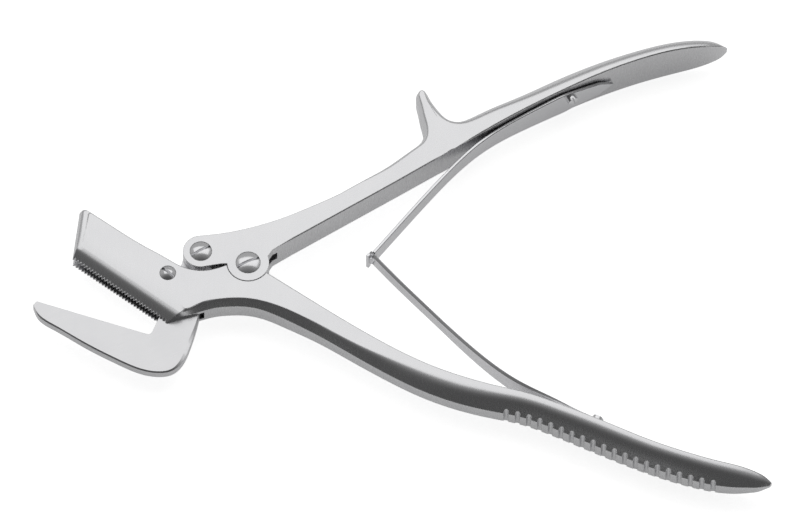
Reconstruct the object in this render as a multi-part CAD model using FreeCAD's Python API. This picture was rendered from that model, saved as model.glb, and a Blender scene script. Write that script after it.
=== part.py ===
import FreeCAD, Part
import math
import os

# Plaster cast shears of forged stainless steel, in millimetres.
# One forging holds the lower handle and the slotted, toothed upper jaw.
# The drive handle grips a tongue of that forging between its two ears and turns on the pivot screw.
# Its link screw lifts the lower jaw, a plate that runs in the upper jaw's slot and is led by a guide screw.
# The model is drawn about the pivot screw: +X to the grips, +Z out of the upper flat side.

Vector = FreeCAD.Vector
UP = Vector(0, 0, 1)

# Flat stock at the joint, across Z
bodyThickness = 15.2
plateThickness = 5.0
plateClearance = 0.1
earClearance = 0.1
slotWidth = plateThickness + 2 * plateClearance
tongueThickness = 5.2
forkSlotWidth = tongueThickness + 2 * earClearance
halfBody = bodyThickness / 2
# How far a cutter stands out of the stock
overcut = 1.0

# Joint positions, with the drive handle open against its stop
linkX = -22.1
linkY = 6.1
guideX = -37.5
guideY = -5.6
handleTravel = 38.0
jawRatio = 0.5
link = Vector(linkX, linkY, 0)
guide = Vector(guideX, guideY, 0)

# Bosses, recesses and screws; each round is given by three angles along it
bossRadius = 9.8
bossRound = (20, 285, 183)
earRound = (272, 186, 100)
eyeRound = (172, 80, -20)
guideRound = (182, 150, 118)
bossGap = 0.3
linkEarRadius = 8.4
plateEyeRadius = 8.2
forkSlotRadius = 15.9
runningClearance = 0.05
pivotHead = 11.2
pivotShank = 6.4
linkHead = 10.0
linkShank = 5.4
guideHead = 7.3
guideShank = 3.8
headDepth = 2.6
headDome = 1.0
headSlotWidth = 1.1
headSlotDepth = 1.5
headGap = 0.15
pivotSlotAngle = 26
linkSlotAngle = 31
guideSlotAngle = -42
# A screw's dome is drawn as a cone, down to this share of its radius
crownShare = 0.5

# Upper jaw
toothStartX = -82.1
toothStartY = 4.2
toothRow = 55.8
toothSlope = -37.6
toothPitch = 1.72
toothDepth = 1.2
toothClear = 4.0
jawSlotDepth = 13.0
toothEdgeHalf = 2.9
bodyLandHalf = 4.1
jawTop = [(-64.5, 20.5), (-49.5, 9.8), (-38.3, 2.75), (-31.6, -1.5), (-21.9, -4.0), (-13.3, -2.3)]
jawFrontTop = (-78.8, 31.0)
jawCornerRadius = 1.2
bodyNose = (-10.3, -1.1)
bodyCrotchReach = 20.5
jawSlotBack = [(-13.6, 10.0), (-13.9, 2.0), (-15.6, -4.0), (-19.4, -18.0), (-20.8, -28.0), (-20.8, -40.0)]
jawSlotFrontX = -45.1
jawSlotTopY = 30.0
jawSlotLowY = -70.0
jawSlotReach = 20.0

# Underside of the body between the teeth and the handle: its land, and the edge of the flat above it
bodyLand = [(-30.0, -27.4), (-22.8, -24.9), (-15.5, -22.7), (-8.5, -21.9), (-1.0, -22.0), (6.5, -23.7)]
bodyFlat = [(-29.8, -25.2), (-21.8, -21.6), (-15.0, -19.9), (-8.3, -19.1), (-1.0, -19.1), (7.3, -20.7)]

# Levels of the upper jaw's ground sides: height, tooth offset, front inset, share of the bottom bevel
heelLean = -0.5
jawLevels = [
    (toothEdgeHalf, 0.0, 0.0, 0.0),
    (bodyLandHalf, 1.3, 0.4, 0.0),
    (5.2, 2.5, 0.8, 0.31),
    (6.6, 4.3, 1.5, 0.71),
    (halfBody, 6.6, 3.6, 1.0),
]

# Share of a handle's side that is round, before the facet at the land
rollShare = 0.68
# How far the side draws in along its flat part, and how full its round part is
flatLean = 0.04
rollFullness = 0.5
rollGain = 0.21

# Handle stations: inner edge X and Y, depth, inner width,
# half width of the outer land, flat depth of the side
lowerHandle = [
    (25.2, -16.8, 14.3, bodyThickness, bodyLandHalf, 10.5),
    (40.1, -27.3, 12.3, bodyThickness, 3.5, 8.4),
    (55.1, -37.5, 11.8, 15.4, 3.3, 7.2),
    (70.0, -46.9, 11.8, 15.8, 3.2, 5.2),
    (84.9, -55.0, 12.0, 16.6, 3.2, 3.6),
    (99.9, -61.4, 11.9, 17.4, 3.2, 2.8),
    (114.8, -66.4, 11.2, 18.4, 3.3, 2.2),
    (129.8, -70.9, 10.3, 19.8, 3.5, 1.8),
    (146.0, -77.6, 10.1, 21.0, 3.6, 1.5),
    (167.1, -87.4, 10.3, 22.2, 3.6, 1.3),
    (189.6, -97.9, 10.0, 22.6, 3.5, 1.2),
    (206.0, -103.9, 10.0, 22.0, 3.4, 1.1),
    (219.4, -107.4, 9.9, 19.4, 3.2, 1.0),
    (229.5, -109.2, 9.0, 15.4, 2.9, 0.9),
    (237.0, -111.2, 7.0, 10.8, 2.3, 0.6),
    (241.5, -113.2, 4.4, 6.6, 1.5, 0.4),
    (243.6, -114.5, 1.8, 2.6, 0.6, 0.2),
]
upperHandle = [
    (47.6, 29.9, 9.0, bodyThickness, 7.1, 8.5),
    (60.0, 37.8, 9.1, bodyThickness, 6.9, 8.4),
    (70.0, 44.2, 9.9, 15.3, 5.4, 8.0),
    (84.0, 53.3, 11.2, 15.7, 4.0, 7.6),
    (103.6, 66.0, 12.2, 17.0, 3.5, 7.2),
    (117.6, 74.9, 11.6, 18.6, 3.3, 5.8),
    (131.6, 83.2, 10.2, 19.6, 3.3, 3.6),
    (147.0, 91.6, 9.8, 20.6, 3.4, 2.2),
    (164.3, 100.2, 9.5, 21.8, 3.4, 1.6),
    (187.7, 109.5, 9.0, 22.6, 3.4, 1.2),
    (203.0, 113.9, 8.5, 21.6, 3.3, 1.0),
    (212.5, 116.0, 7.4, 18.4, 3.0, 0.8),
    (219.4, 117.7, 5.4, 13.6, 2.3, 0.5),
    (223.0, 118.9, 3.2, 8.4, 1.4, 0.3),
    (224.7, 119.7, 1.2, 3.2, 0.5, 0.1),
]

# Drive handle: top edge of the fork, and the thumb spur
forkTop = [(-12.2, 15.9), (2.8, 19.6), (17.7, 25.1), (32.6, 32.2)]
forkThroat = (-12.6, -0.6)
forkCrotchReach = 43.0
spurLeft = [(66.0, 53.2), (72.3, 59.2), (77.7, 63.9), (81.2, 67.6), (82.0, 72.0), (80.6, 79.5)]
spurLeft += [(79.0, 87.5)]
spurRight = [(84.4, 91.6), (86.6, 87.6), (90.2, 82.6), (94.0, 79.3), (98.4, 78.3), (104.0, 79.7)]
spurRight += [(112.0, 83.7)]
spurTip = [(78.6, 92.4), (80.4, 94.6), (82.6, 94.4)]
spurTipShare = 0.75
spurStartShares = [0.0, 0.5]
spurRoot = [(114.0, 77.2), (69.5, 49.7)]
spurLevels = [(3.8, 0.0), (6.1, 0.6), (7.45, 2.7)]

# Grip grooves on the outer land of the lower handle
grooveCount = 20
groovePitch = 5.45
grooveStart = 120.2
grooveWidth = 2.6
grooveFloor = 1.5
grooveDepth = 1.2
grooveClear = 1.0

# Lower jaw, drawn as its plate lies when open
jawTip = (-100.3, -19.8)
jawBlade = [(-98.6, -17.9), (-45.4, -36.1)]
jawHeel = (-41.2, -26.0)
heelRadius = 2.0
jawBack = [(-17.5, -6.0), (-20.4, -15.0), (-23.5, -29.2), (-27.1, -42.4), (-30.4, -50.2), (-35.2, -55.0)]
jawSole = [(-42.1, -56.2), (-49.5, -54.8), (-60.8, -49.5), (-75.7, -40.9), (-90.6, -31.1), (-98.1, -25.2)]
guideWall = 4.6
guideSteps = 12
plateWaist = (-32.6, -0.2)
soleChamfer = 0.6
# How much wider the broken edge gets along the plate's back
backBevels = [1.0, 1.0, 1.2, 2.8, 2.2, 1.3]

# Leaf springs: the point where they hook, the free part of each middle line, thickness and widths
leafThickness = 1.5
leafTipWidth = 8.6
leafRootWidth = 15.2
leafSeatGap = 0.35
leafHookX = 58.1
leafHookY = 6.6
leafHook = Vector(leafHookX, leafHookY, 0)
leafSteps = 11
upperLeafLine = [(70.6, 22.7), (85.5, 41.6), (98.0, 56.3), (108.2, 66.3), (118.3, 73.9)]
lowerLeafLine = [(69.5, -6.7), (84.4, -23.1), (106.9, -46.9), (126.2, -63.1), (144.3, -73.9)]
upperSeat = [(132.0, 83.4), (152.4, 94.3), (170.5, 102.8)]
lowerSeat = [(156.0, -82.1), (162.9, -85.4), (171.5, -89.5)]
neckWidth = 4.6
neckLength = 2.2
hookWidth = 10.7
hookLength = 1.9
hookRise = 0.9
prongGap = 0.3
prongReach = 1.6
springScrewHead = 5.4
springScrewShank = 3.0
springScrewHeight = 2.4
springScrewDome = 0.7
springScrewReach = 5.0
springScrewLift = 3.0
springScrewUpperX = 151.1
springScrewLowerX = 161.9
springSlotWidth = 0.9
springSlotDepth = 1.2
springSlotAngle = 122
leafTaper = 34.0
leafRootReach = 4.0
ogiveShare = 0.72
ogiveHalf = 0.6


def at(pair, z=0.0):
    return Vector(pair[0], pair[1], z)


def curve(points):
    spline = Part.BSplineCurve()
    spline.interpolate(points)
    return spline.toShape()


def line(a, b):
    return Part.LineSegment(a, b).toShape()


def arc(a, middle, b):
    return Part.Arc(a, middle, b).toShape()


def disc(radius, low, high, centre=Vector(0, 0, 0)):
    return Part.makeCylinder(radius, high - low, centre + Vector(0, 0, low))


def slab(wire, low, high):
    face = Part.Face(wire)
    face.translate(Vector(0, 0, low))
    return face.extrude(Vector(0, 0, high - low))


def turned(vector, degrees):
    angle = math.radians(degrees)
    x = vector.x * math.cos(angle) - vector.y * math.sin(angle)
    y = vector.x * math.sin(angle) + vector.y * math.cos(angle)
    return Vector(x, y, vector.z)


def unit(vector):
    return vector * (1.0 / vector.Length)


def sideOf(direction):
    # Unit vector square to a direction, to its left
    return unit(Vector(-direction.y, direction.x, 0))


def toothLine():
    # First tooth, and the direction of the row
    return Vector(toothStartX, toothStartY, 0), turned(Vector(1, 0, 0), toothSlope)


def crossing(a, along, b, across):
    # Where the line through a meets the line through b
    gap = b - a
    turn = along.x * across.y - along.y * across.x
    return a + along * ((gap.x * across.y - gap.y * across.x) / turn)


def roundPoints(centre, radius, angles):
    # The points of a round at these angles
    return [centre + turned(Vector(radius, 0, 0), angle) for angle in angles]


def rounded(corner, toA, toB, radius):
    # The three points of an arc that rounds a corner between two directions
    half = math.acos(toA.dot(toB)) / 2
    setback = radius / math.tan(half)
    middle = corner + unit(toA + toB) * (radius / math.sin(half) - radius)
    return corner + toA * setback, middle, corner + toB * setback


def domedBolt(profileLevels, head, shank, dome, slotWide, slotDeep, slotAngle):
    # Shank, cylindrical head and domed top about the Z axis, with a screwdriver slot
    tail, seat, rim = profileLevels
    radius = head / 2
    corners = [(0, tail), (shank / 2, tail), (shank / 2, seat), (radius, seat), (radius, rim)]
    corners += [(radius * crownShare, rim + dome), (0, rim + dome), (0, tail)]
    profile = Part.makePolygon([Vector(x, 0, z) for x, z in corners])
    body = Part.Face(profile).revolve(Vector(0, 0, 0), UP, 360)
    floor = Vector(-head, -slotWide / 2, rim + dome - slotDeep)
    slot = Part.makeBox(2 * head, slotWide, 2 * slotDeep, floor)
    slot.rotate(Vector(0, 0, 0), UP, slotAngle)
    return Part.Solid(body.Shells[0]).cut(slot)


# Handles: D sections whose flat side carries the spring

def handleNormals(stations, outward):
    rim = Part.BSplineCurve()
    rim.interpolate([at(s) for s in stations])
    normals = []
    for s in stations:
        tangent = rim.tangent(rim.parameter(at(s)))[0]
        normals.append(sideOf(tangent) * outward)
    return normals


def handleSection(station, normal):
    depth, width, land, flat = station[2:6]
    inner = at(station)

    def place(down, z):
        return inner + normal * down + UP * z

    # The side leaves the flat inner face, runs level, rolls over and meets the outer land in a facet
    half = width / 2
    shoulder = half - flatLean * flat
    bulge = rollFullness + rollGain * (1 - flat / depth) * (half - land) / half
    midDown = flat + (depth - flat) * bulge
    midZ = land + (shoulder - land) * bulge
    sides = {}
    for up in (1, -1):
        start = place(flat, up * shoulder)
        roll = Part.Arc(start, place(midDown, up * midZ), place(depth, up * land))
        low, reach = roll.FirstParameter, (roll.LastParameter - roll.FirstParameter) * rollShare
        sides[up] = (start, roll.value(low + reach / 2), roll.value(low + reach))
    edges = [
        line(place(0, -half), place(0, half)),
        line(place(0, half), sides[1][0]),
        arc(*sides[1]),
        line(sides[1][2], place(depth, land)),
        line(place(depth, land), place(depth, -land)),
        line(place(depth, -land), sides[-1][2]),
        arc(*sides[-1][::-1]),
        line(sides[-1][0], place(0, -half)),
    ]
    return Part.Wire(edges)


def handleSolid(stations, outward):
    normals = handleNormals(stations, outward)
    sections = [handleSection(s, n) for s, n in zip(stations, normals)]
    return Part.makeLoft(sections, True, True)


def stationEnd(stations, outward):
    normal = handleNormals(stations, outward)[0]
    inner = at(stations[0])
    return inner, normal


# Main body: lower handle and slotted upper jaw in one forging

def bodyOutline(level):
    z, toothOffset, frontInset, bevel = level
    inner, normal = stationEnd(lowerHandle, -1)
    depth = lowerHandle[0][2]
    flat = lowerHandle[0][5]
    outer = inner + normal * (depth + (flat - depth) * bevel)
    toothStart, along = toothLine()
    normal = sideOf(along)
    heel = toothStart + along * (toothRow - heelLean * toothOffset) + normal * toothOffset
    # The point next to the heel is drawn in half as the teeth are and half as the body is
    shares = [bevel] * len(bodyLand)
    shares[0] = (toothOffset / jawLevels[-1][1] + bevel) / 2
    bottom = [at(a) + (at(b) - at(a)) * share for a, b, share in zip(bodyLand, bodyFlat, shares)]
    # The front is drawn in by the inset, and its corner stays on the line of the top edge
    top = [at(p) for p in jawTop]
    frontUp = unit(at(jawFrontTop) - toothStart)
    topAway = unit(top[0] - at(jawFrontTop))
    foot = toothStart + Vector(frontInset, 0, 0)
    toothFront = crossing(toothStart + normal * toothOffset, along, foot, frontUp)
    corner = crossing(foot, frontUp, at(jawFrontTop), topAway)
    cornerFront, cornerMiddle, cornerTop = rounded(corner, frontUp * -1, topAway, jawCornerRadius)
    crotch = inner + unit(at(lowerHandle[0]) - at(lowerHandle[1])) * bodyCrotchReach
    edges = [
        curve([cornerTop] + top + [at(bodyNose)]),
        line(at(bodyNose), crotch),
        line(crotch, inner),
        line(inner, outer),
        curve([outer] + bottom[::-1] + [heel]),
        line(heel, toothFront),
        line(toothFront, cornerFront),
        arc(cornerFront, cornerMiddle, cornerTop),
    ]
    wire = Part.Wire(edges)
    wire.translate(Vector(0, 0, z))
    return wire


def bodyHead():
    wires = [bodyOutline(level) for level in jawLevels]
    flipped = []
    for level in reversed(jawLevels):
        z, toothOffset, frontInset, bevel = level
        flipped.append(bodyOutline((-z, toothOffset, frontInset, bevel)))
    return Part.makeLoft(flipped + wires, True, True)


def jawSlot():
    toothStart, along = toothLine()
    roof = toothStart + sideOf(along) * jawSlotDepth
    front = roof - along * jawSlotReach
    back = crossing(roof, along, Vector(jawSlotFrontX, 0, 0), Vector(0, 1, 0))
    points = [
        front,
        back,
        Vector(jawSlotFrontX, jawSlotTopY, 0),
        Vector(jawSlotBack[0][0], jawSlotTopY, 0),
    ]
    points += [at(p) for p in jawSlotBack]
    points += [Vector(jawSlotBack[-1][0], jawSlotLowY, 0), Vector(front.x, jawSlotLowY, 0), front]
    return slab(Part.makePolygon(points), -slotWidth / 2, slotWidth / 2)


def toothCutter():
    toothStart, along = toothLine()
    normal = sideOf(along)
    count = int(toothRow / toothPitch)
    below = normal * -toothClear
    points = [toothStart + below]
    for i in range(count):
        root = toothStart + along * (i * toothPitch)
        points.append(root)
        points.append(root + along * (toothPitch / 2) + normal * toothDepth)
    last = toothStart + along * (count * toothPitch)
    points += [last, last + below, points[0]]
    return slab(Part.makePolygon(points), -halfBody, halfBody)


def grooveCutters():
    # Flat grooves with leaning sides, milled straight across the rounded grip, where they run out
    normals = handleNormals(lowerHandle, -1)
    outer = [at(s) + n * s[2] for s, n in zip(lowerHandle, normals)]
    land = Part.BSplineCurve()
    land.interpolate(outer)
    nearest = min(outer, key=lambda p: abs(p.x - grooveStart))
    first = land.parameter(Vector(grooveStart, nearest.y, 0))
    cutters = []
    for i in range(grooveCount):
        place = land.parameterAtDistance(i * groovePitch, first)
        along = land.tangent(place)[0]
        outwards = sideOf(along) * -1
        mouth = land.value(place) + outwards * grooveClear
        floor = land.value(place) - outwards * grooveDepth
        wide = along * (grooveWidth / 2)
        narrow = along * (grooveFloor / 2)
        points = [mouth - wide, floor - narrow, floor + narrow, mouth + wide, mouth - wide]
        cutters.append(slab(Part.makePolygon(points), -bodyThickness, bodyThickness))
    return cutters


def mainBody():
    body = bodyHead().fuse(handleSolid(lowerHandle, -1))
    body = body.fuse(disc(bossRadius, -tongueThickness / 2, tongueThickness / 2))
    recess = bossRadius + bossGap
    cuts = [
        disc(recess, tongueThickness / 2, halfBody + overcut),
        disc(recess, -halfBody - overcut, -tongueThickness / 2),
        disc(pivotShank / 2 + runningClearance, -halfBody, halfBody),
        jawSlot(),
        toothCutter(),
        disc(guideHead / 2 + headGap, halfBody - headDepth, halfBody + overcut, guide),
        disc(guideShank / 2, -halfBody - overcut, halfBody, guide),
        screwTube(lowerSpringSeat(), -1),
    ]
    body = body.cut(cuts + grooveCutters())
    return body.removeSplitter()


# Drive handle: two ears on a slotted fork, thumb spur and upper grip

def forkOutline():
    inner, normal = stationEnd(upperHandle, 1)
    outer = inner + normal * upperHandle[0][2]
    slope = unit(at(upperHandle[1]) - at(upperHandle[0]))
    throat = at(forkThroat)
    bossOut, bossLow, bossIn = roundPoints(Vector(0, 0, 0), bossRadius, bossRound)
    chin = inner - slope * forkCrotchReach
    earBottom, earLeft, earTop = roundPoints(link, linkEarRadius, earRound)
    edges = [
        arc(earBottom, earLeft, earTop),
        curve([earTop] + [at(p) for p in forkTop] + [outer]),
        line(outer, inner),
        line(inner, chin),
        line(chin, bossOut),
        arc(bossOut, bossLow, bossIn),
        line(bossIn, throat),
        line(throat, earBottom),
    ]
    return Part.Wire(edges)


def forkSlot():
    # Round behind the pivot, and open past the link screw
    middle = disc(forkSlotRadius, -forkSlotWidth / 2, forkSlotWidth / 2)
    reach = 2 * (abs(linkX) + linkEarRadius)
    corner = Vector(-reach, -reach / 2, -forkSlotWidth / 2)
    return middle.fuse(Part.makeBox(reach, reach, forkSlotWidth, corner))


def spurOutline(z, inset):
    # The rim with every point moved inwards: none at its start, and less at the narrow tip
    places = [at(p) for p in spurLeft + spurTip + spurRight]
    shares = spurStartShares + [1.0] * (len(spurLeft) - len(spurStartShares))
    shares += [spurTipShare] * len(spurTip) + [1.0] * len(spurRight)
    rim = Part.BSplineCurve()
    rim.interpolate(places)
    points = []
    for p, share in zip(places, shares):
        inwards = sideOf(rim.tangent(rim.parameter(p))[0]) * -1
        points.append(p + inwards * (inset * share))
    root = [at(p) for p in spurRoot]
    edges = [
        curve(points),
        line(points[-1], root[0]),
        line(root[0], root[1]),
        line(root[1], points[0]),
    ]
    wire = Part.Wire(edges)
    wire.translate(Vector(0, 0, z))
    return wire


def spurSolid():
    lower = [spurOutline(-z, inset) for z, inset in reversed(spurLevels)]
    upper = [spurOutline(z, inset) for z, inset in spurLevels]
    return Part.makeLoft(lower + upper, True, True)


def driveHandle():
    head = slab(forkOutline(), -halfBody, halfBody)
    body = head.fuse([handleSolid(upperHandle, 1), spurSolid()])
    cuts = [
        forkSlot(),
        disc(pivotHead / 2 + headGap, halfBody - headDepth, halfBody + overcut),
        disc(pivotShank / 2, -halfBody - overcut, halfBody),
        disc(linkHead / 2 + headGap, halfBody - headDepth, halfBody + overcut, link),
        disc(linkShank / 2, -halfBody - overcut, halfBody, link),
        screwTube(upperSpringSeat(), 1),
    ]
    return body.cut(cuts).removeSplitter()


# Lower jaw: the plate that the link screw lifts and the guide screw leads

def linkAt(angle):
    return turned(link, -angle)


def guidePath():
    # Where the fixed guide screw passes in the plate, as the drive handle closes
    points = []
    for i in range(guideSteps + 1):
        angle = handleTravel * i / guideSteps
        points.append(link + turned(guide - linkAt(angle), jawRatio * angle))
    return points


def guideSlot():
    points = guidePath()
    middle = Part.BSplineCurve()
    middle.interpolate(points)
    radius = guideShank / 2 + runningClearance
    sides = {}
    for side in (1, -1):
        sides[side] = []
        for p in points:
            tangent = middle.tangent(middle.parameter(p))[0]
            sides[side].append(p + sideOf(tangent) * radius * side)
    startBack = unit(points[0] - points[1]) * radius
    endAhead = unit(points[-1] - points[-2]) * radius
    edges = [
        curve(sides[1]),
        arc(sides[1][-1], points[-1] + endAhead, sides[-1][-1]),
        curve(sides[-1][::-1]),
        arc(sides[-1][0], points[0] + startBack, sides[1][0]),
    ]
    return slab(Part.Wire(edges), -plateThickness, plateThickness)


def jawOutline(z, inset):
    # The back and the sole are drawn in by the inset, for their broken edges
    blade = [at(p) for p in jawBlade]
    heel = at(jawHeel)
    toTip = unit(blade[0] - blade[1])
    toHeel = unit(heel - blade[1])
    heelFront, heelMiddle, heelUp = rounded(blade[1], toTip, toHeel, heelRadius)
    guideLeft, guideMiddle, guideTop = roundPoints(guide, guideWall, guideRound)
    eyeLeft, eyeTop, eyeRight = roundPoints(link, plateEyeRadius, eyeRound)
    rim = [eyeRight] + [at(p) for p in jawBack + jawSole] + [at(jawTip)]
    rimCurve = Part.BSplineCurve()
    rimCurve.interpolate(rim)
    widths = backBevels + [1.0] * len(jawSole)
    drawn = [rim[0]]
    for p, width in zip(rim[1:-1], widths):
        inwards = sideOf(rimCurve.tangent(rimCurve.parameter(p))[0]) * -1
        drawn.append(p + inwards * (inset * width))
    drawn.append(rim[-1])
    edges = [
        line(blade[0], heelFront),
        arc(heelFront, heelMiddle, heelUp),
        line(heelUp, heel),
        line(heel, guideLeft),
        arc(guideLeft, guideMiddle, guideTop),
        curve([guideTop, at(plateWaist), eyeLeft]),
        arc(eyeLeft, eyeTop, eyeRight),
        curve(drawn),
        line(at(jawTip), blade[0]),
    ]
    wire = Part.Wire(edges)
    wire.translate(Vector(0, 0, z))
    return wire


def lowerJaw():
    half = plateThickness / 2
    land = half - soleChamfer
    levels = [(-half, soleChamfer), (-land, 0), (land, 0), (half, soleChamfer)]
    plate = Part.makeLoft([jawOutline(z, inset) for z, inset in levels], True, True)
    bore = disc(linkShank / 2 + runningClearance, -halfBody, halfBody, link)
    return plate.cut([bore, guideSlot()])


# Screws

def screw(centre, head, shank, slotAngle):
    levels = (-halfBody, halfBody - headDepth, halfBody)
    body = domedBolt(levels, head, shank, headDome, headSlotWidth, headSlotDepth, slotAngle)
    body.translate(centre)
    return body


# Leaf springs and their screws

def leafSpline(free, seat, stations, outward, reach):
    # The middle line passes the hook by the reach, and follows the handle's inner face along the seat
    normals = handleNormals(stations, outward)
    face = Part.BSplineCurve()
    face.interpolate([at(s) for s in stations])
    beyond = leafHook - unit(at(free[0]) - leafHook) * reach
    points = [beyond] + [at(p) for p in free]
    lift = leafSeatGap + leafThickness / 2
    for p in seat:
        place = face.parameter(at(p))
        normal = sideOf(face.tangent(place)[0]) * -outward
        points.append(face.value(place) + normal * lift)
    spline = Part.BSplineCurve()
    spline.interpolate(points)
    return spline


def upperLeafSpline():
    return leafSpline(upperLeafLine, upperSeat, upperHandle, 1, 0)


def lowerLeafSpline():
    return leafSpline(lowerLeafLine, lowerSeat, lowerHandle, -1, prongReach)


def springSeat(spline, x):
    # Point on the leaf's middle line where its screw stands, and the direction along the leaf
    low, high = spline.FirstParameter, spline.LastParameter
    for _ in range(40):
        half = (low + high) / 2
        if spline.value(half).x < x:
            low = half
        else:
            high = half
    return spline.value(low) + UP * springScrewLift, spline.tangent(low)[0]


def upperSpringSeat():
    return springSeat(upperLeafSpline(), springScrewUpperX)


def lowerSpringSeat():
    return springSeat(lowerLeafSpline(), springScrewLowerX)


def screwTube(seat, outward):
    centre, tangent = seat
    into = sideOf(tangent) * outward
    return Part.makeCylinder(springScrewShank / 2, springScrewReach + leafThickness, centre, into)


def springScrew(seat, outward):
    centre, tangent = seat
    lip = leafThickness / 2
    levels = (-springScrewReach - lip, lip, lip + springScrewHeight)
    body = domedBolt(levels, springScrewHead, springScrewShank, springScrewDome,
                     springSlotWidth, springSlotDepth, springSlotAngle)
    away = sideOf(tangent) * -outward
    body.Placement = FreeCAD.Placement(centre, FreeCAD.Rotation(UP, away))
    return body


def leafStrip(spline):
    # Side view of the leaf: its middle line with the thickness on both sides
    low, high = spline.FirstParameter, spline.LastParameter
    sides = {1: [], -1: []}
    for i in range(leafSteps + 1):
        place = low + (high - low) * i / leafSteps
        normal = sideOf(spline.tangent(place)[0])
        for side in (1, -1):
            sides[side].append(spline.value(place) + normal * (side * leafThickness / 2))
    edges = [
        curve(sides[1]),
        line(sides[1][-1], sides[-1][-1]),
        curve(sides[-1][::-1]),
        line(sides[-1][0], sides[1][0]),
    ]
    return slab(Part.Wire(edges), -leafRootWidth, leafRootWidth)


def leafPlan(startX, rootX, endX):
    # Width of the leaf seen square to its length: it widens to the root and ends in a pointed arch
    tip = leafTipWidth / 2
    root = leafRootWidth / 2
    arch = rootX + ogiveShare * (endX - rootX)
    low = [Vector(startX, 0, -tip), Vector(startX + leafTaper, 0, -tip), Vector(rootX, 0, -root)]
    high = [Vector(p.x, 0, -p.z) for p in low]
    end = Vector(endX, 0, 0)
    edges = [
        line(low[0], low[1]),
        line(low[1], low[2]),
        arc(low[2], Vector(arch, 0, -ogiveHalf * root), end),
        arc(end, Vector(arch, 0, ogiveHalf * root), high[2]),
        line(high[2], high[1]),
        line(high[1], high[0]),
        line(high[0], low[0]),
    ]
    face = Part.Face(Part.Wire(edges))
    reach = abs(at(lowerHandle[-1]).y) + abs(at(upperHandle[-1]).y)
    face.translate(Vector(0, -reach, 0))
    return face.extrude(Vector(0, 2 * reach, 0))


def leaf(spline, rootX, endX):
    start = spline.value(spline.FirstParameter)
    return leafStrip(spline).common(leafPlan(start.x - 2 * prongReach, rootX, endX))


def hookFrame(spline):
    place = spline.parameter(leafHook)
    along = unit(spline.tangent(place)[0])
    return leafHook, along, sideOf(along)


def bar(origin, along, side, low, high, halfThickness, halfWidth):
    # Rectangular bar: low to high along the leaf, centred on its middle line
    points = [
        origin + along * low - side * halfThickness,
        origin + along * high - side * halfThickness,
        origin + along * high + side * halfThickness,
        origin + along * low + side * halfThickness,
        origin + along * low - side * halfThickness,
    ]
    return slab(Part.makePolygon(points), -halfWidth, halfWidth)


def leafHole(seat):
    centre, tangent = seat
    across = sideOf(tangent)
    start = centre - across * (2 * leafThickness)
    return Part.makeCylinder(springScrewShank / 2, 4 * leafThickness, start, across)


def upperSpring():
    spline = upperLeafSpline()
    body = leaf(spline, springScrewUpperX - leafRootReach, upperSeat[-1][0])
    origin, along, side = hookFrame(spline)
    half = leafThickness / 2
    gap = neckLength / 2
    # The end is cut back to a neck and carries a cross bar that hooks behind the other leaf
    clear = bar(origin, along, side, -3 * neckLength, gap, 2 * leafThickness, leafRootWidth)
    neck = bar(origin, along, side, -gap - hookLength / 2, 2 * gap, half, neckWidth / 2)
    hook = bar(origin + side * hookRise, along, side, -gap - hookLength, -gap, half, hookWidth / 2)
    body = body.cut(clear).fuse([neck, hook])
    return body.cut(leafHole(upperSpringSeat())).removeSplitter()


def lowerSpring():
    spline = lowerLeafSpline()
    body = leaf(spline, springScrewLowerX - leafRootReach, lowerSeat[-1][0])
    origin, along, side = hookFrame(spline)
    halfNotch = neckWidth / 2 + prongGap
    notch = bar(origin, along, side, -2 * prongReach, neckLength, 2 * leafThickness, halfNotch)
    return body.cut([notch, leafHole(lowerSpringSeat())]).removeSplitter()


def pieces():
    return {
        "main_body": mainBody(),
        "drive_handle": driveHandle(),
        "lower_jaw": lowerJaw(),
        "pivot_screw": screw(Vector(0, 0, 0), pivotHead, pivotShank, pivotSlotAngle),
        "link_screw": screw(link, linkHead, linkShank, linkSlotAngle),
        "guide_screw": screw(guide, guideHead, guideShank, guideSlotAngle),
        "upper_spring": upperSpring(),
        "lower_spring": lowerSpring(),
        "upper_spring_screw": springScrew(upperSpringSeat(), 1),
        "lower_spring_screw": springScrew(lowerSpringSeat(), -1),
    }


def main():
    os.makedirs("parts", exist_ok=True)
    shapes = pieces()
    box = Part.makeCompound(list(shapes.values())).optimalBoundingBox()
    # The reference point is the middle of the lowest plane
    shift = Vector(-(box.XMin + box.XMax) / 2, -(box.YMin + box.YMax) / 2, -box.ZMin)
    for name, shape in shapes.items():
        shape.translate(shift)
        print(name, len(shape.Solids), shape.isValid(), round(shape.Volume, 1))
        shape.exportStep("parts/" + name + ".step")
    print("pivot", [round(v, 4) for v in shift])
    print("link", [round(v, 4) for v in shift + link])
    print("guide", [round(v, 4) for v in shift + guide])
    print("spring root lower", [round(v, 4) for v in shift + lowerSpringSeat()[0]])
    print("spring root upper", [round(v, 4) for v in shift + upperSpringSeat()[0]])
    print("box", round(box.XLength, 2), round(box.YLength, 2), round(box.ZLength, 2))


main()
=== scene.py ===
import bpy
import bmesh
import math
import numpy
from mathutils import Matrix, Vector


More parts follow.
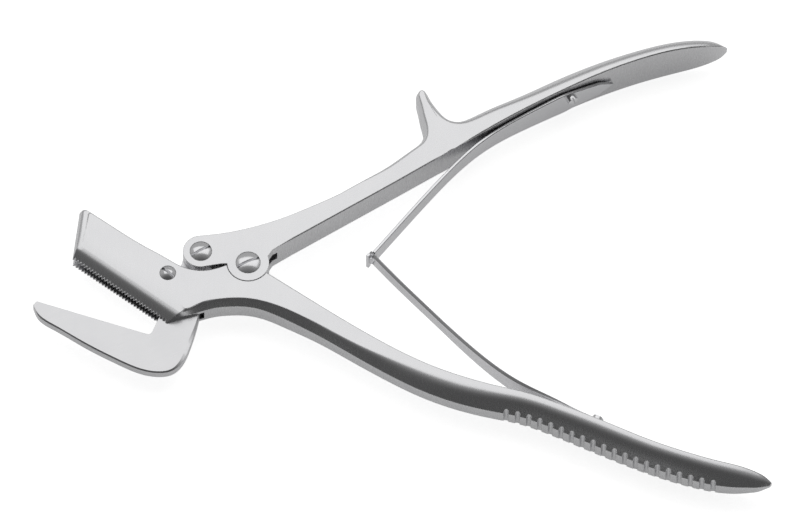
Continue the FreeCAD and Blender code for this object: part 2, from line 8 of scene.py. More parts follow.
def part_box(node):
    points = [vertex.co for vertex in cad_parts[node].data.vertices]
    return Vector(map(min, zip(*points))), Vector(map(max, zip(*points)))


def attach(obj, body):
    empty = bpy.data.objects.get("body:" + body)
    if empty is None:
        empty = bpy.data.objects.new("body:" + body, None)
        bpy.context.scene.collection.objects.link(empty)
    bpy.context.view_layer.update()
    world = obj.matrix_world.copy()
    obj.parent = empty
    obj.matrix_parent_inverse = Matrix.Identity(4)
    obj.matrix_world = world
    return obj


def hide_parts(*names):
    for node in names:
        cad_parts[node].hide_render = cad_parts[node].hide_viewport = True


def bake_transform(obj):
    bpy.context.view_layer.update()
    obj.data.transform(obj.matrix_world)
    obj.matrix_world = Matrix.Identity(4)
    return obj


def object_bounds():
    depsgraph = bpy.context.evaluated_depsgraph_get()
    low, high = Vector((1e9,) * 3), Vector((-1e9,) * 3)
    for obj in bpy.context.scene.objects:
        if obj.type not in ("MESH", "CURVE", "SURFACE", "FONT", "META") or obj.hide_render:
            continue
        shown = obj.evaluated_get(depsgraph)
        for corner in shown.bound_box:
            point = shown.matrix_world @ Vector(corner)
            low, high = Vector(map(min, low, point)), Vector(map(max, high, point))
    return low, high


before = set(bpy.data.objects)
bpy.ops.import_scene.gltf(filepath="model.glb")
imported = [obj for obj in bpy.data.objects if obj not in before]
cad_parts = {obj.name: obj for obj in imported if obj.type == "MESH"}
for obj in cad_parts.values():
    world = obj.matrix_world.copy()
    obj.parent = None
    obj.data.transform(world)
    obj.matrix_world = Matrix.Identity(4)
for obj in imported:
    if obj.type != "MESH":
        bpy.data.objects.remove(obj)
cadLow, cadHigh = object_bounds()
mm = 0.001

# every piece is drawn in mm about the main pivot: +X to the grips, +Z out of the upper flat side
screwLow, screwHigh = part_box("pivot_screw")
bodyLow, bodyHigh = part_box("main_body")
pivot = Vector(((screwLow[0] + screwHigh[0]) / 2, (screwLow[1] + screwHigh[1]) / 2, (bodyLow[2] + bodyHigh[2]) / 2))

shot = {
    "elevation": 60.0,      # degrees above the table
    "target": (72.34, -1.89, 7.6),      # mm from the pivot, what the middle of the picture looks at
    "width": 376.4,         # mm across the picture
    "lens": 900.0,          # a very long lens: the photograph shows no vanishing
    "clip": (0.5, 40.0),    # m
}


def newObject(name, data):
    made = bpy.data.objects.new(name, data)
    bpy.context.scene.collection.objects.link(made)
    return made


def emptyTree(owner):
    owner.use_nodes = True
    owner.node_tree.nodes.clear()
    return owner.node_tree


def makeCamera():
    data = bpy.data.cameras.new("shotCamera")
    camera = newObject("shotCamera", data)
    data.lens = shot["lens"]
    data.sensor_width = 36.0
    tilt = math.radians(shot["elevation"])
    back = Vector((0.0, -math.cos(tilt), math.sin(tilt)))
    distance = shot["width"] * mm * data.lens / data.sensor_width
    camera.location = pivot + Vector(shot["target"]) * mm + back * distance
    camera.rotation_mode = "QUATERNION"
    camera.rotation_quaternion = back.to_track_quat("Z", "Y")
    data.clip_start, data.clip_end = shot["clip"]
    bpy.context.scene.camera = camera


makeCamera()
print("camera placed")


def linear(hexColour):      # sRGB hex to linear rgba
    channels = [int(hexColour[i:i + 2], 16) / 255 for i in (1, 3, 5)]
    return tuple(c / 12.92 if c <= 0.04045 else ((c + 0.055) / 1.055) ** 2.4 for c in channels) + (1.0,)


def addNode(tree, kind, settings=None, values=None, links=None):
    # a link comes from a socket, from a node's first output, or from a list of these
    node = tree.nodes.new(kind)
    for name, value in (settings or {}).items():
        setattr(node, name, value)
    for socket, value in (values or {}).items():
        node.inputs[socket].default_value = value
    for socket, sources in (links or {}).items():
        for source in sources if isinstance(sources, list) else [sources]:
            output = source.outputs[0] if isinstance(source, bpy.types.Node) else source
            tree.links.new(output, node.inputs[socket])
    return node


def groundSteel(name, look):
    # grit lines lie along the second axis of the turned Object coordinates
    material = bpy.data.materials.new(name)
    tree = emptyTree(material)
    place = addNode(tree, "ShaderNodeTexCoord").outputs["Object"]
    spun = addNode(tree, "ShaderNodeMapping", values={"Rotation": (0, 0, math.radians(look["grainTurn"]))},
                   links={"Vector": place})
    across, along = 1 / (look["grainWidth"] * mm), 1 / (look["grainLength"] * mm)
    lines = addNode(tree, "ShaderNodeMapping", values={"Scale": (across, along, along)}, links={"Vector": spun})
    grain = addNode(tree, "ShaderNodeTexNoise", values={"Scale": 1.0, "Detail": 3.0, "Roughness": 0.6},
                    links={"Vector": lines})
    cloud = addNode(tree, "ShaderNodeTexNoise", values={"Scale": 1 / (look["cloud"] * mm), "Detail": 2.0},
                    links={"Vector": place})
    # the edge mask is where the eased normal leaves the true one: it lowers the roughness there as wear, and lightens
    # the colour there as a painted edge highlight
    edge = addNode(tree, "ShaderNodeBevel", {"samples": 6}, {"Radius": look["edge"] * mm})
    flat = addNode(tree, "ShaderNodeNewGeometry").outputs["Normal"]
    lean = addNode(tree, "ShaderNodeVectorMath", {"operation": "DOT_PRODUCT"}, links={0: edge, 1: flat})
    wornAndHighlitEdge = addNode(tree, "ShaderNodeMapRange", values={"From Min": 0.995, "From Max": 0.93},
                   links={"Value": lean.outputs["Value"]})
    mottled = addNode(tree, "ShaderNodeMix", {"data_type": "RGBA"},
                      {6: linear(look["colour"]), 7: linear(look["cloudColour"])}, {0: cloud})
    # painted edge highlight: the edge mask mixes a lighter colour into the steel along every broken edge
    coloured = addNode(tree, "ShaderNodeMix", {"data_type": "RGBA"}, {7: linear(look["edgeHighlightColour"])},
                       {0: wornAndHighlitEdge, 6: mottled.outputs[2]})
    low, high = look["rough"] - look["roughSpread"], look["rough"] + look["roughSpread"]
    rough = addNode(tree, "ShaderNodeMapRange", values={"To Min": low, "To Max": high}, links={"Value": grain})
    smoothed = addNode(tree, "ShaderNodeMath", {"operation": "MULTIPLY"}, {1: 0.08}, {0: wornAndHighlitEdge})
    settled = addNode(tree, "ShaderNodeMath", {"operation": "SUBTRACT"}, links={0: rough, 1: smoothed})
    bump = addNode(tree, "ShaderNodeBump", values={"Strength": 1.0, "Distance": look["grainDepth"] * mm},
                   links={"Height": grain, "Normal": edge})
    shader = addNode(tree, "ShaderNodeBsdfPrincipled", values={"Metallic": 1.0},
                     links={"Base Color": coloured.outputs[2], "Roughness": settled, "Normal": bump})
    addNode(tree, "ShaderNodeOutputMaterial", links={"Surface": shader})
    return material


# stainless steel ground with a fine belt: even pale grey with a soft, short grain that catches light in streaks
satinSteel = groundSteel("satinGroundStainless", {
    "colour": "#DEDEDF", "cloudColour": "#D8D8DA", "edgeHighlightColour": "#E6E6E7", "rough": 0.27, "roughSpread": 0.04,
    "grainTurn": 0.0, "grainWidth": 0.5, "grainLength": 7.0, "grainDepth": 0.0014,   # real grit is near 0.05 wide
    "cloud": 14.0, "edge": 0.50})
# turned and polished screw heads: sharp bright and dark bands
polishedSteel = groundSteel("polishedTurnedStainless", {
    "colour": "#E2E2E3", "cloudColour": "#DCDCDE", "edgeHighlightColour": "#EAEAEB", "rough": 0.17, "roughSpread": 0.03,
    "grainTurn": 30.0, "grainWidth": 0.4, "grainLength": 2.5, "grainDepth": 0.002,
    "cloud": 5.0, "edge": 0.10})
# rolled spring strip, ground along its length: a little darker and shinier than the forgings
springSteel = groundSteel("rolledSpringStainless", {
    "colour": "#E6E6E8", "cloudColour": "#E0E0E2", "edgeHighlightColour": "#EEEEF0", "rough": 0.23, "roughSpread": 0.04,
    "grainTurn": 0.0, "grainWidth": 7.0, "grainLength": 0.6, "grainDepth": 0.003,
    "cloud": 9.0, "edge": 0.12})
# the jaw plate is ground slantwise, a little coarser
bladeSteel = groundSteel("slantGroundStainless", {
    "colour": "#DCDCDD", "cloudColour": "#D5D5D7", "edgeHighlightColour": "#E8E8E9", "rough": 0.29, "roughSpread": 0.05,
    "grainTurn": 65.0, "grainWidth": 0.6, "grainLength": 8.0, "grainDepth": 0.003,
    "cloud": 10.0, "edge": 0.16})
print("steels made")


def splineThrough(rows):
    # natural cubic through the rows of a table, whose first two columns are X and Y
    table = numpy.array(rows, float)
    steps = numpy.hypot(*numpy.diff(table[:, :2], axis=0).T)
    places = numpy.concatenate([[0.0], numpy.cumsum(steps)])
    count = len(table)
    system = numpy.eye(count)
    right = numpy.zeros_like(table)
    for i in range(1, count - 1):
        system[i, i - 1:i + 2] = steps[i - 1], 2 * (steps[i - 1] + steps[i]), steps[i]
        right[i] = 6 * ((table[i + 1] - table[i]) / steps[i] - (table[i] - table[i - 1]) / steps[i - 1])
    bend = numpy.linalg.solve(system, right)

    def value(where):
        i = int(numpy.clip(numpy.searchsorted(places, where, side="right") - 1, 0, count - 2))
        a = (places[i + 1] - where) / steps[i]
        b = 1 - a
        return (a * table[i] + b * table[i + 1]
                + ((a ** 3 - a) * bend[i] + (b ** 3 - b) * bend[i + 1]) * steps[i] ** 2 / 6)

    return value, places


def sampled(rows, count, first=0, last=-1):
    # evenly spaced points on the spline, from one row's place to another's
    value, places = splineThrough(rows)
    return [value(p) for p in numpy.linspace(places[first], places[last], count + 1)]


def left(direction):
    # unit vector square to a direction, to its left
    return numpy.array((-direction[1], direction[0])) / math.hypot(direction[0], direction[1])


def turned(degrees, length=1.0):
    angle = math.radians(degrees)
    return numpy.array((math.cos(angle), math.sin(angle))) * length


def unit(direction):
    return direction / numpy.linalg.norm(direction)


def runAt(points, i):
    # from the point before to the point after
    return points[min(i + 1, len(points) - 1)] - points[max(i - 1, 0)]


def smooth(t):
    t = min(1.0, t)
    return t * t * (3 - 2 * t)


def onArc(centre, radius, first, last, count):
    return [numpy.array(centre) + turned(a, radius) for a in numpy.linspace(first, last, count + 1)]


def onLine(a, b, count):
    return [numpy.array(a) + (numpy.array(b) - numpy.array(a)) * t for t in numpy.linspace(0, 1, count + 1)]


def crossing(a, along, b, across):
    # where the line through a meets the line through b
    gap = numpy.array(b) - a
    turn = along[0] * across[1] - along[1] * across[0]
    return a + along * ((gap[0] * across[1] - gap[1] * across[0]) / turn)


def roundCorner(corner, toA, toB, radius, count):
    # points of the arc that rounds a corner between two unit directions
    half = math.acos(float(numpy.dot(toA, toB))) / 2
    middle = corner + unit(toA + toB) * (radius / math.sin(half))
    start = corner + toA * (radius / math.tan(half)) - middle
    end = corner + toB * (radius / math.tan(half)) - middle
    a, b = math.atan2(start[1], start[0]), math.atan2(end[1], end[0])
    swing = (b - a + math.pi) % (2 * math.pi) - math.pi
    return [middle + turned(math.degrees(a + swing * t), radius) for t in numpy.linspace(0, 1, count + 1)]


def chained(*runs):
    # runs of points end to end, each shared end kept once
    points = list(runs[0])
    for run in runs[1:]:
        points += list(run)[1:]
    return points


def addStrip(work, rows):
    made = [[work.verts.new(pivot + Vector(p) * mm) for p in row] for row in rows]
    for upper, lower in zip(made, made[1:]):
        for i in range(len(upper) - 1):
            work.faces.new((upper[i], upper[i + 1], lower[i + 1], lower[i]))


def addFace(work, points):
    work.faces.new([work.verts.new(pivot + Vector(p) * mm) for p in points])


def closeUp(work):
    bmesh.ops.remove_doubles(work, verts=work.verts, dist=0.000003)
    bmesh.ops.dissolve_degenerate(work, edges=work.edges, dist=0.000002)
    bmesh.ops.recalc_face_normals(work, faces=work.faces)


def newPiece(name, work):
    mesh = bpy.data.meshes.new(name)
    work.to_mesh(mesh)
    work.free()
    return newObject(name, mesh)


def settle(piece):
    # the piece as its modifiers leave it, as a plain mesh
    graph = bpy.context.evaluated_depsgraph_get()
    mesh = bpy.data.meshes.new_from_object(piece.evaluated_get(graph))
    piece.modifiers.clear()
    piece.data = mesh


def loft(name, rings):
    # a closed skin over rings of points
    work = bmesh.new()
    addStrip(work, [r + r[:1] for r in rings])
    addFace(work, rings[0])
    addFace(work, rings[-1])
    closeUp(work)
    return newPiece(name, work)


def prism(name, outline, low, high):
    return loft(name, [[(p[0], p[1], z) for p in outline] for z in (low, high)])


def rod(name, centre, radius, low, high, count=72):
    return prism(name, onArc(centre, radius, 0, 360, count)[:-1], low, high)


def cutAway(piece, cutters, operation="DIFFERENCE"):
    for cutter in cutters:
        cut = piece.modifiers.new("cut", "BOOLEAN")
        cut.operation = operation
        cut.solver = "MANIFOLD"
        cut.object = cutter
    settle(piece)
    for cutter in cutters:
        bpy.data.objects.remove(cutter)


def finishPiece(piece, node, material, angle=27.0):
    work = bmesh.new()
    work.from_mesh(piece.data)
    bmesh.ops.remove_doubles(work, verts=work.verts, dist=0.000001)
    bmesh.ops.dissolve_degenerate(work, edges=work.edges, dist=0.000001)
    for vert in work.verts:         # nothing stands out of the CAD box
        vert.co = [min(max(c, low), high) for c, low, high in zip(vert.co, cadLow, cadHigh)]
    for edge in work.edges:
        edge.smooth = len(edge.link_faces) == 2 and edge.calc_face_angle(0.0) < math.radians(angle)
    for face in work.faces:
        face.smooth = True
        face.material_index = 0
    work.to_mesh(piece.data)
    work.free()
    piece.data.materials.clear()
    piece.data.materials.append(material)
    piece.name = node + "Dressed"
    weighted = piece.modifiers.new("weighted", "WEIGHTED_NORMAL")
    weighted.keep_sharp = True
    weighted.weight = 60
    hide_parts(node)
    print(node, len(piece.data.polygons), "faces")


# one grip section: shares of the flat part, rows over the round part, and the row on the land
section = {
    "flatShares": [0.0, 0.33, 0.66, 0.9457, 0.9638, 0.9819],
    "rollRows": 12,
    "landShare": 0.707,
    "flatLean": 0.04,       # how far the side draws in along its flat part
    # the round part leaves the flat sharply near the joint and gently on the grips, and meets the land in an edge
    "rollStart": (0.15, 0.50), "rollEnd": (0.60, 0.66), "gentle": (30.0, 100.0),
    "ease": 0.45,           # broken edge between a flat side and the inner face
}


def easedRim(points, z, half, shares, first, turn, lastInto):
    # a rim whose edge is broken by a share at each point: the first row steps in, the others drop
    made = []
    for i, (p, share) in enumerate(zip(points, shares)):
        if share and first:
            into = lastInto if i == len(points) - 1 else left(runAt(points, i)) * turn
            p = p + into * section["ease"] * share
        made.append((p[0], p[1], z if first or not share else min(z, half - section["ease"] * share)))
    return made


def rollPath(innerX):
    # the round part as a Bezier curve, from the flat (0, 1) to the land (1, 0)
    low, high = section["gentle"]
    gentle = min(1.0, max(0.0, (innerX - low) / (high - low)))
    start, end = [a + (b - a) * gentle for a, b in (section["rollStart"], section["rollEnd"])]
    path = []
    for t in numpy.linspace(0, 1, section["rollRows"] + 1):
        a, b, c = 3 * t * (1 - t) ** 2, 3 * t * t * (1 - t), t ** 3
        path.append((a * start + b * end + c, (1 - t) ** 3 + a + b / 2))
    return path


def ring(column, levelPath=None, levelShare=0.0):
    inner, outer, out = column["inner"], column["outer"], column["out"]
    roll, land, half, shoulder = column["roll"], column["land"], column["half"], column["shoulder"]
    shoulder += (half - shoulder) * levelShare
    edge = outer - out * roll
    ease = min(section["ease"], 0.1 * half)
    near = []
    for share in section["flatShares"]:
        x, y = inner + (edge - inner) * share + (out * ease if share == 0 else 0)
        near.append((x, y, half + (shoulder - half) * share))
    path = rollPath(inner[0])
    if levelPath is not None:
        path = [(a + (c - a) * levelShare, b + (d - b) * levelShare) for (a, b), (c, d) in zip(path, levelPath)]
    for down, up in path:
        x, y = outer - out * (roll * (1 - down))
        near.append((x, y, land + (shoulder - land) * up))
    near.append((outer[0], outer[1], land * section["landShare"]))
    far = [(x, y, -z) for x, y, z in reversed(near)]
    corner = half - ease
    drops = [corner] + [min(corner, half * h) for h in column["innerHeights"]]
    return near + far + [(*inner, -z) for z in drops] + [(*inner, z) for z in reversed(drops)]


def gripColumn(row, tangent, outward, innerHeights):
    x, y, depth, width, land, flat = row
    out = left(tangent) * outward
    half = width / 2
    inner = numpy.array((x, y))
    return {"inner": inner, "outer": inner + out * depth, "out": out, "roll": depth - flat, "land": land,
            "half": half, "shoulder": half - section["flatLean"] * flat, "innerHeights": innerHeights}


def tangentAt(value, where):
    return (value(where + 0.1) - value(where - 0.1))[:2]


def forged(name, near, far, half, start, out, flat, rings):
    # two rims joined by their rows, and the handle's rings from the flat side's points at its root
    work = bmesh.new()
    addStrip(work, near + far[::-1])
    root = [start + out * (flat * s) for s in section["flatShares"][1:3]]
    for rim, z in ((near[0], half), (far[0], -half)):
        addFace(work, rim + [(p[0], p[1], z) for p in root])
    addStrip(work, [r + r[:1] for r in rings])
    addFace(work, rings[-1])
    closeUp(work)
    return newPiece(name, work)


boreGap = 0.08      # mm between a shank and its bore
# the lower handle and the slotted, toothed upper jaw are one forging
forging = {
    "half": 7.6,
    "toothStart": (-82.1, 4.2), "toothRow": 55.8, "toothSlope": -37.6, "toothPitch": 1.72, "toothDepth": 1.2,
    "toothOpening": 0.97, "toothReach": 2.2,    # shares of the pitch and of the half width that a notch takes
    "slotRoof": 13.0, "slotHalf": 2.6, "slotFront": -45.1, "heelLean": -0.5, "crownLean": 0.9,
    "slotBack": [(-13.6, 10.0), (-13.9, 2.0), (-15.6, -4.0), (-19.4, -18.0), (-20.8, -28.0), (-20.8, -40.0)],
    "top": [(-64.5, 20.5), (-49.5, 9.8), (-38.3, 2.75), (-31.6, -1.5), (-21.9, -4.0), (-13.3, -2.3)],
    "frontTop": (-78.8, 31.0), "cornerRadius": 1.2, "nose": (-10.3, -1.1), "crotchReach": 20.5,
    "land": [(-30.0, -27.4), (-22.8, -24.9), (-15.5, -22.7), (-8.5, -21.9), (-1.0, -22.0), (6.5, -23.7)],
    "flat": [(-29.8, -25.2), (-21.8, -21.6), (-15.0, -19.9), (-8.3, -19.1), (-1.0, -19.1), (7.3, -20.7)],
    # height, offset from the teeth, inset of the front, share of the bottom bevel
    "levels": [(7.6, 6.6, 3.6, 1.0), (6.6, 4.3, 1.5, 0.71), (5.2, 2.5, 0.8, 0.31), (4.1, 1.3, 0.4, 0.0)],
    "edgeLevel": (2.9, 0.0, 0.0, 0.0),
    "crown": [(7.6, 12.7, 4.6, 1.15), (7.6, 10.65, 4.27, 1.10), (7.6, 8.6, 3.93, 1.05)],
    "crownDrop": 0.36, "crownShares": (0.0, 0.12, 0.46, 1.0),   # the ground faces sink a little towards the teeth
    "tongueRadius": 9.8, "tongueHalf": 2.6, "recessRadius": 10.1,
    "guide": (-37.5, -5.6), "guideBore": 3.8, "guideSink": 7.6, "sinkDepth": 2.6,
    "ringStep": 1.7, "blendColumns": 14, "tongueGap": 0.05,
}
# inner edge X and Y, depth, width, half width of the outer land, flat depth of the side
lowerGrip = [
    (25.2, -16.8, 14.3, 15.2, 4.1, 10.5), (40.1, -27.3, 12.3, 15.2, 3.5, 8.4), (55.1, -37.5, 11.8, 15.4, 3.3, 7.2),
    (70.0, -46.9, 11.8, 15.8, 3.2, 5.2), (84.9, -55.0, 12.0, 16.6, 3.2, 3.6), (99.9, -61.4, 11.9, 17.4, 3.2, 2.8),
    (114.8, -66.4, 11.2, 18.4, 3.3, 2.2), (129.8, -70.9, 10.3, 19.8, 3.5, 1.8), (146.0, -77.6, 10.1, 21.0, 3.6, 1.5),
    (167.1, -87.4, 10.3, 22.2, 3.6, 1.3), (189.6, -97.9, 10.0, 22.6, 3.5, 1.2), (206.0, -103.9, 10.0, 22.0, 3.4, 1.1),
    (219.4, -107.4, 9.9, 19.4, 3.2, 1.0), (229.5, -109.2, 9.0, 15.4, 2.9, 0.9), (237.0, -111.2, 7.0, 10.8, 2.3, 0.6),
    (241.5, -113.2, 4.4, 6.6, 1.5, 0.4), (243.6, -114.5, 1.8, 2.6, 0.6, 0.2),
]


def forgingRows():
    # crown rows, rows over the ground side, and the row at the toothed edge
    ground = [tuple(r) for r in sampled(forging["levels"], section["rollRows"])]
    return forging["crown"] + ground + [forging["edgeLevel"]]


def forgingRim(row, drop, sign, first):
    z, offset, inset, bevel = row
    value, places = splineThrough(lowerGrip)
    guides = []
    for i in (2, 1, 0):
        depth, flat = lowerGrip[i][2], lowerGrip[i][5]
        out = -left(tangentAt(value, places[i]))
        guides.append(numpy.array(lowerGrip[i][:2]) + out * (depth + (flat - depth) * bevel))
    inner = numpy.array(lowerGrip[0][:2])
    start = numpy.array(forging["toothStart"])
    along = turned(forging["toothSlope"])
    up = left(along)
    side = forging["levels"][0][1]
    lean = forging["heelLean"] * min(offset, side) + forging["crownLean"] * max(0.0, offset - side)
    heel = start + along * (forging["toothRow"] - lean) + up * offset
    shares = [bevel] * len(forging["land"])
    shares[0] = (offset / side + bevel) / 2
    bottom = [numpy.array(a) + (numpy.array(b) - numpy.array(a)) * s
              for a, b, s in zip(forging["land"], forging["flat"], shares)]
    under = sampled(guides + bottom[::-1] + [heel], 44, first=2)
    frontTop = numpy.array(forging["frontTop"])
    frontUp = unit(frontTop - start)
    top = [numpy.array(p) for p in forging["top"]]
    away = unit(top[0] - frontTop)
    foot = start + numpy.array((inset, 0.0))
    toothFront = crossing(start + up * offset, along, foot, frontUp)
    corner = crossing(foot, frontUp, frontTop, away)
    cornerRun = roundCorner(corner, -frontUp, away, forging["cornerRadius"], 6)
    crotch = inner + unit(inner - numpy.array(lowerGrip[1][:2])) * forging["crotchReach"]
    # each run with the share of the sink and of the broken edge along it
    runs = [
        ([p[:2] for p in under], lambda t: t * t, lambda t: 0.0),
        (onLine(heel, toothFront, 24), lambda t: 1.0, lambda t: 0.0),
        (onLine(toothFront, cornerRun[0], 6), lambda t: (1 - t) ** 2, lambda t: t),
        (cornerRun, lambda t: 0.0, lambda t: 1.0),
        (sampled([cornerRun[-1]] + top + [numpy.array(forging["nose"])], 48), lambda t: 0.0, lambda t: 1.0),
        (onLine(forging["nose"], crotch, 8), lambda t: 0.0, lambda t: 1.0),
        (onLine(crotch, inner, 8), lambda t: 0.0, lambda t: 1.0),
    ]
    points, sinks, breaks = [], [], []
    for run, sink, broken in runs:
        for i, p in enumerate(run):
            if points and i == 0:
                continue
            points.append(p)
            sinks.append(sink(i / (len(run) - 1)))
            breaks.append(broken(i / (len(run) - 1)))
    out = -left(tangentAt(value, 0.0))
    rim = easedRim(points, z, forging["half"], breaks, first, -1, out)
    # only the last of the ground side's height takes part in the sink
    low = forging["levels"][1][0]
    fall = drop * max(0.0, (z - low) / (forging["half"] - low))
    return [(x, y, (height - fall * sink) * sign) for (x, y, height), sink in zip(rim, sinks)]


def makeForging():
    rows = forgingRows()
    drops = [s * forging["crownDrop"] for s in forging["crownShares"]]
    drops += [forging["crownDrop"]] * (len(rows) - len(drops))
    near, far = [[forgingRim(r, d, sign, r is rows[0]) for r, d in zip(rows, drops)] for sign in (1, -1)]
    # the handle's rings begin with the section of the jaw end
    ground = rows[len(forging["crown"]):-1]
    low, high = forging["levels"][-1][0], forging["half"]
    levelPath = [(1 - r[3], (r[0] - low) / (high - low)) for r in ground]
    heights = [r[0] / high for r in ground[1:]] + [forging["edgeLevel"][0] / high]
    value, places = splineThrough(lowerGrip)
    count = round(places[-1] / forging["ringStep"])
    rings = []
    for i in range(count + 1):
        where = places[-1] * i / count
        column = gripColumn(value(where), tangentAt(value, where), -1, heights)
        rings.append(ring(column, levelPath, 1 - smooth(i / forging["blendColumns"])))
    return forged("forging", near, far, high, numpy.array(lowerGrip[0][:2]), -left(tangentAt(value, 0.0)),
                  lowerGrip[0][5], rings)


def treeWithInputs(name, **inputs):
    # a Geometry Nodes tree with inputs named by kind, and the socket names that a modifier needs
    tree = bpy.data.node_groups.new(name, "GeometryNodeTree")
    tree.interface.new_socket(name="Geometry", in_out="INPUT", socket_type="NodeSocketGeometry")
    keys = {}
    for kind, labels in inputs.items():
        for label in labels:
            socket = tree.interface.new_socket(name=label, in_out="INPUT", socket_type="NodeSocket" + kind)
            keys[label] = socket.identifier
    tree.interface.new_socket(name="Geometry", in_out="OUTPUT", socket_type="NodeSocketGeometry")
    return tree, keys, addNode(tree, "NodeGroupInput")


def closeTree(tree, geometry, material):
    whole = addNode(tree, "GeometryNodeRealizeInstances", links={"Geometry": geometry})
    painted = addNode(tree, "GeometryNodeSetMaterial", values={"Material": material}, links={"Geometry": whole})
    addNode(tree, "NodeGroupOutput", links={"Geometry": painted})


def grown(name, tree, keys, values, base=None):
    # the plain mesh that a tree makes with these values
    piece = newObject(name, base or bpy.data.meshes.new(name))
    modifier = piece.modifiers.new("grown", "NODES")
    modifier.node_group = tree
    for label, value in values.items():
        modifier[keys[label]] = value
    settle(piece)
    return piece


def toothTree():
    # a row of diamond cutters along X; each takes one notch out of the edge
    tree, keys, given = treeWithInputs("toothNotches", Int=["Count"], Vector=["Pitch", "Notch"])
    line = addNode(tree, "GeometryNodeMeshLine",
                   links={"Count": given.outputs["Count"], "Offset": given.outputs["Pitch"]})
    diamond = addNode(tree, "GeometryNodeMeshCylinder", values={"Vertices": 4, "Radius": 1.0, "Depth": 1.0})
    sized = addNode(tree, "GeometryNodeTransform", links={"Geometry": diamond, "Scale": given.outputs["Notch"]})
    placed = addNode(tree, "GeometryNodeInstanceOnPoints", links={"Points": line, "Instance": sized})
    closeTree(tree, placed, satinSteel)
    return tree, keys


def grooveTree():
    # round-bottomed cutters set square across the line that they are given
    tree, keys, given = treeWithInputs("gripGrooves", Int=["Count"], Float=["Width", "Height", "Corner", "Length"],
                                       Vector=["Centring"])
    land = addNode(tree, "GeometryNodeMeshToCurve", links={"Mesh": given.outputs["Geometry"]})
    spots = addNode(tree, "GeometryNodeCurveToPoints", {"mode": "COUNT"},
                    links={"Curve": land, "Count": given.outputs["Count"]})
    shape = addNode(tree, "GeometryNodeCurvePrimitiveQuadrilateral", {"mode": "RECTANGLE"},
                    links={"Width": given.outputs["Width"], "Height": given.outputs["Height"]})
    eased = addNode(tree, "GeometryNodeFilletCurve", {"mode": "POLY"}, {"Count": 5},
                    {"Curve": shape, "Radius": given.outputs["Corner"]})
    flat = addNode(tree, "GeometryNodeFillCurve", {"mode": "NGONS"}, links={"Curve": eased})
    tall = addNode(tree, "GeometryNodeExtrudeMesh", {"mode": "FACES"}, {"Offset": (0, 0, 1)},
                   {"Mesh": flat, "Offset Scale": given.outputs["Length"]})
    under = addNode(tree, "GeometryNodeFlipFaces", links={"Mesh": flat})
    closed = addNode(tree, "GeometryNodeJoinGeometry", links={"Geometry": [tall, under]})
    welded = addNode(tree, "GeometryNodeMergeByDistance", values={"Distance": 0.000001}, links={"Geometry": closed})
    centred = addNode(tree, "GeometryNodeTransform",
                      links={"Geometry": welded, "Translation": given.outputs["Centring"]})
    facing = addNode(tree, "FunctionNodeAlignRotationToVector", {"axis": "X", "pivot_axis": "Z"},
                     links={"Vector": spots.outputs["Tangent"]})
    placed = addNode(tree, "GeometryNodeInstanceOnPoints",
                     links={"Points": spots, "Instance": centred, "Rotation": facing})
    closeTree(tree, placed, satinSteel)
    return tree, keys


def screwTree():
    # shank, head and low dome about Z, seated at Z 0, with a straight slot for a screwdriver
    tree, keys, given = treeWithInputs(
        "slottedScrew", Float=["Head Radius", "Head Height", "Dome", "Shank Radius", "Shank Length"],
        Vector=["Head Centre", "Shank Centre", "Slot Size", "Slot Centre", "Slot Turn"])
    size = given.outputs
    head = addNode(tree, "GeometryNodeMeshCylinder", {"fill_type": "TRIANGLE_FAN"},
                   {"Vertices": 96, "Fill Segments": 14}, {"Radius": size["Head Radius"], "Depth": size["Head Height"]})
    seated = addNode(tree, "GeometryNodeTransform", links={"Geometry": head, "Translation": size["Head Centre"]})
    # the dome's rise is 1 - (distance / radius) squared
    place = addNode(tree, "ShaderNodeSeparateXYZ", links={0: addNode(tree, "GeometryNodeInputPosition")})
    flat = addNode(tree, "ShaderNodeCombineXYZ", links={"X": place.outputs["X"], "Y": place.outputs["Y"]})
    out = addNode(tree, "ShaderNodeVectorMath", {"operation": "LENGTH"}, links={0: flat}).outputs["Value"]
    share = addNode(tree, "ShaderNodeMath", {"operation": "DIVIDE"}, links={0: out, 1: size["Head Radius"]})
    squared = addNode(tree, "ShaderNodeMath", {"operation": "POWER"}, {1: 2.0}, {0: share})
    rise = addNode(tree, "ShaderNodeMath", {"operation": "SUBTRACT"}, {0: 1.0}, {1: squared})
    lift = addNode(tree, "ShaderNodeMath", {"operation": "MULTIPLY"}, links={0: rise, 1: size["Dome"]})
    domed = addNode(tree, "GeometryNodeSetPosition", links={
        "Geometry": seated, "Selection": head.outputs["Top"],
        "Offset": addNode(tree, "ShaderNodeCombineXYZ", links={"Z": lift})})
    block = addNode(tree, "GeometryNodeMeshCube", links={"Size": size["Slot Size"]})
    slot = addNode(tree, "GeometryNodeTransform", links={
        "Geometry": block, "Translation": size["Slot Centre"], "Rotation": size["Slot Turn"]})
    cut = addNode(tree, "GeometryNodeMeshBoolean", {"operation": "DIFFERENCE", "solver": "EXACT"},
                  links={"Mesh 1": domed, "Mesh 2": slot})
    shank = addNode(tree, "GeometryNodeMeshCylinder", values={"Vertices": 72},
                    links={"Radius": size["Shank Radius"], "Depth": size["Shank Length"]})
    hung = addNode(tree, "GeometryNodeTransform", links={"Geometry": shank, "Translation": size["Shank Centre"]})
    whole = addNode(tree, "GeometryNodeJoinGeometry", links={"Geometry": [cut, hung]})
    closeTree(tree, whole, polishedSteel)
    return tree, keys


grooves = {"count": 20, "pitch": 5.45, "start": 120.2, "width": 2.3, "depth": 1.6, "corner": 1.1, "length": 30.0}


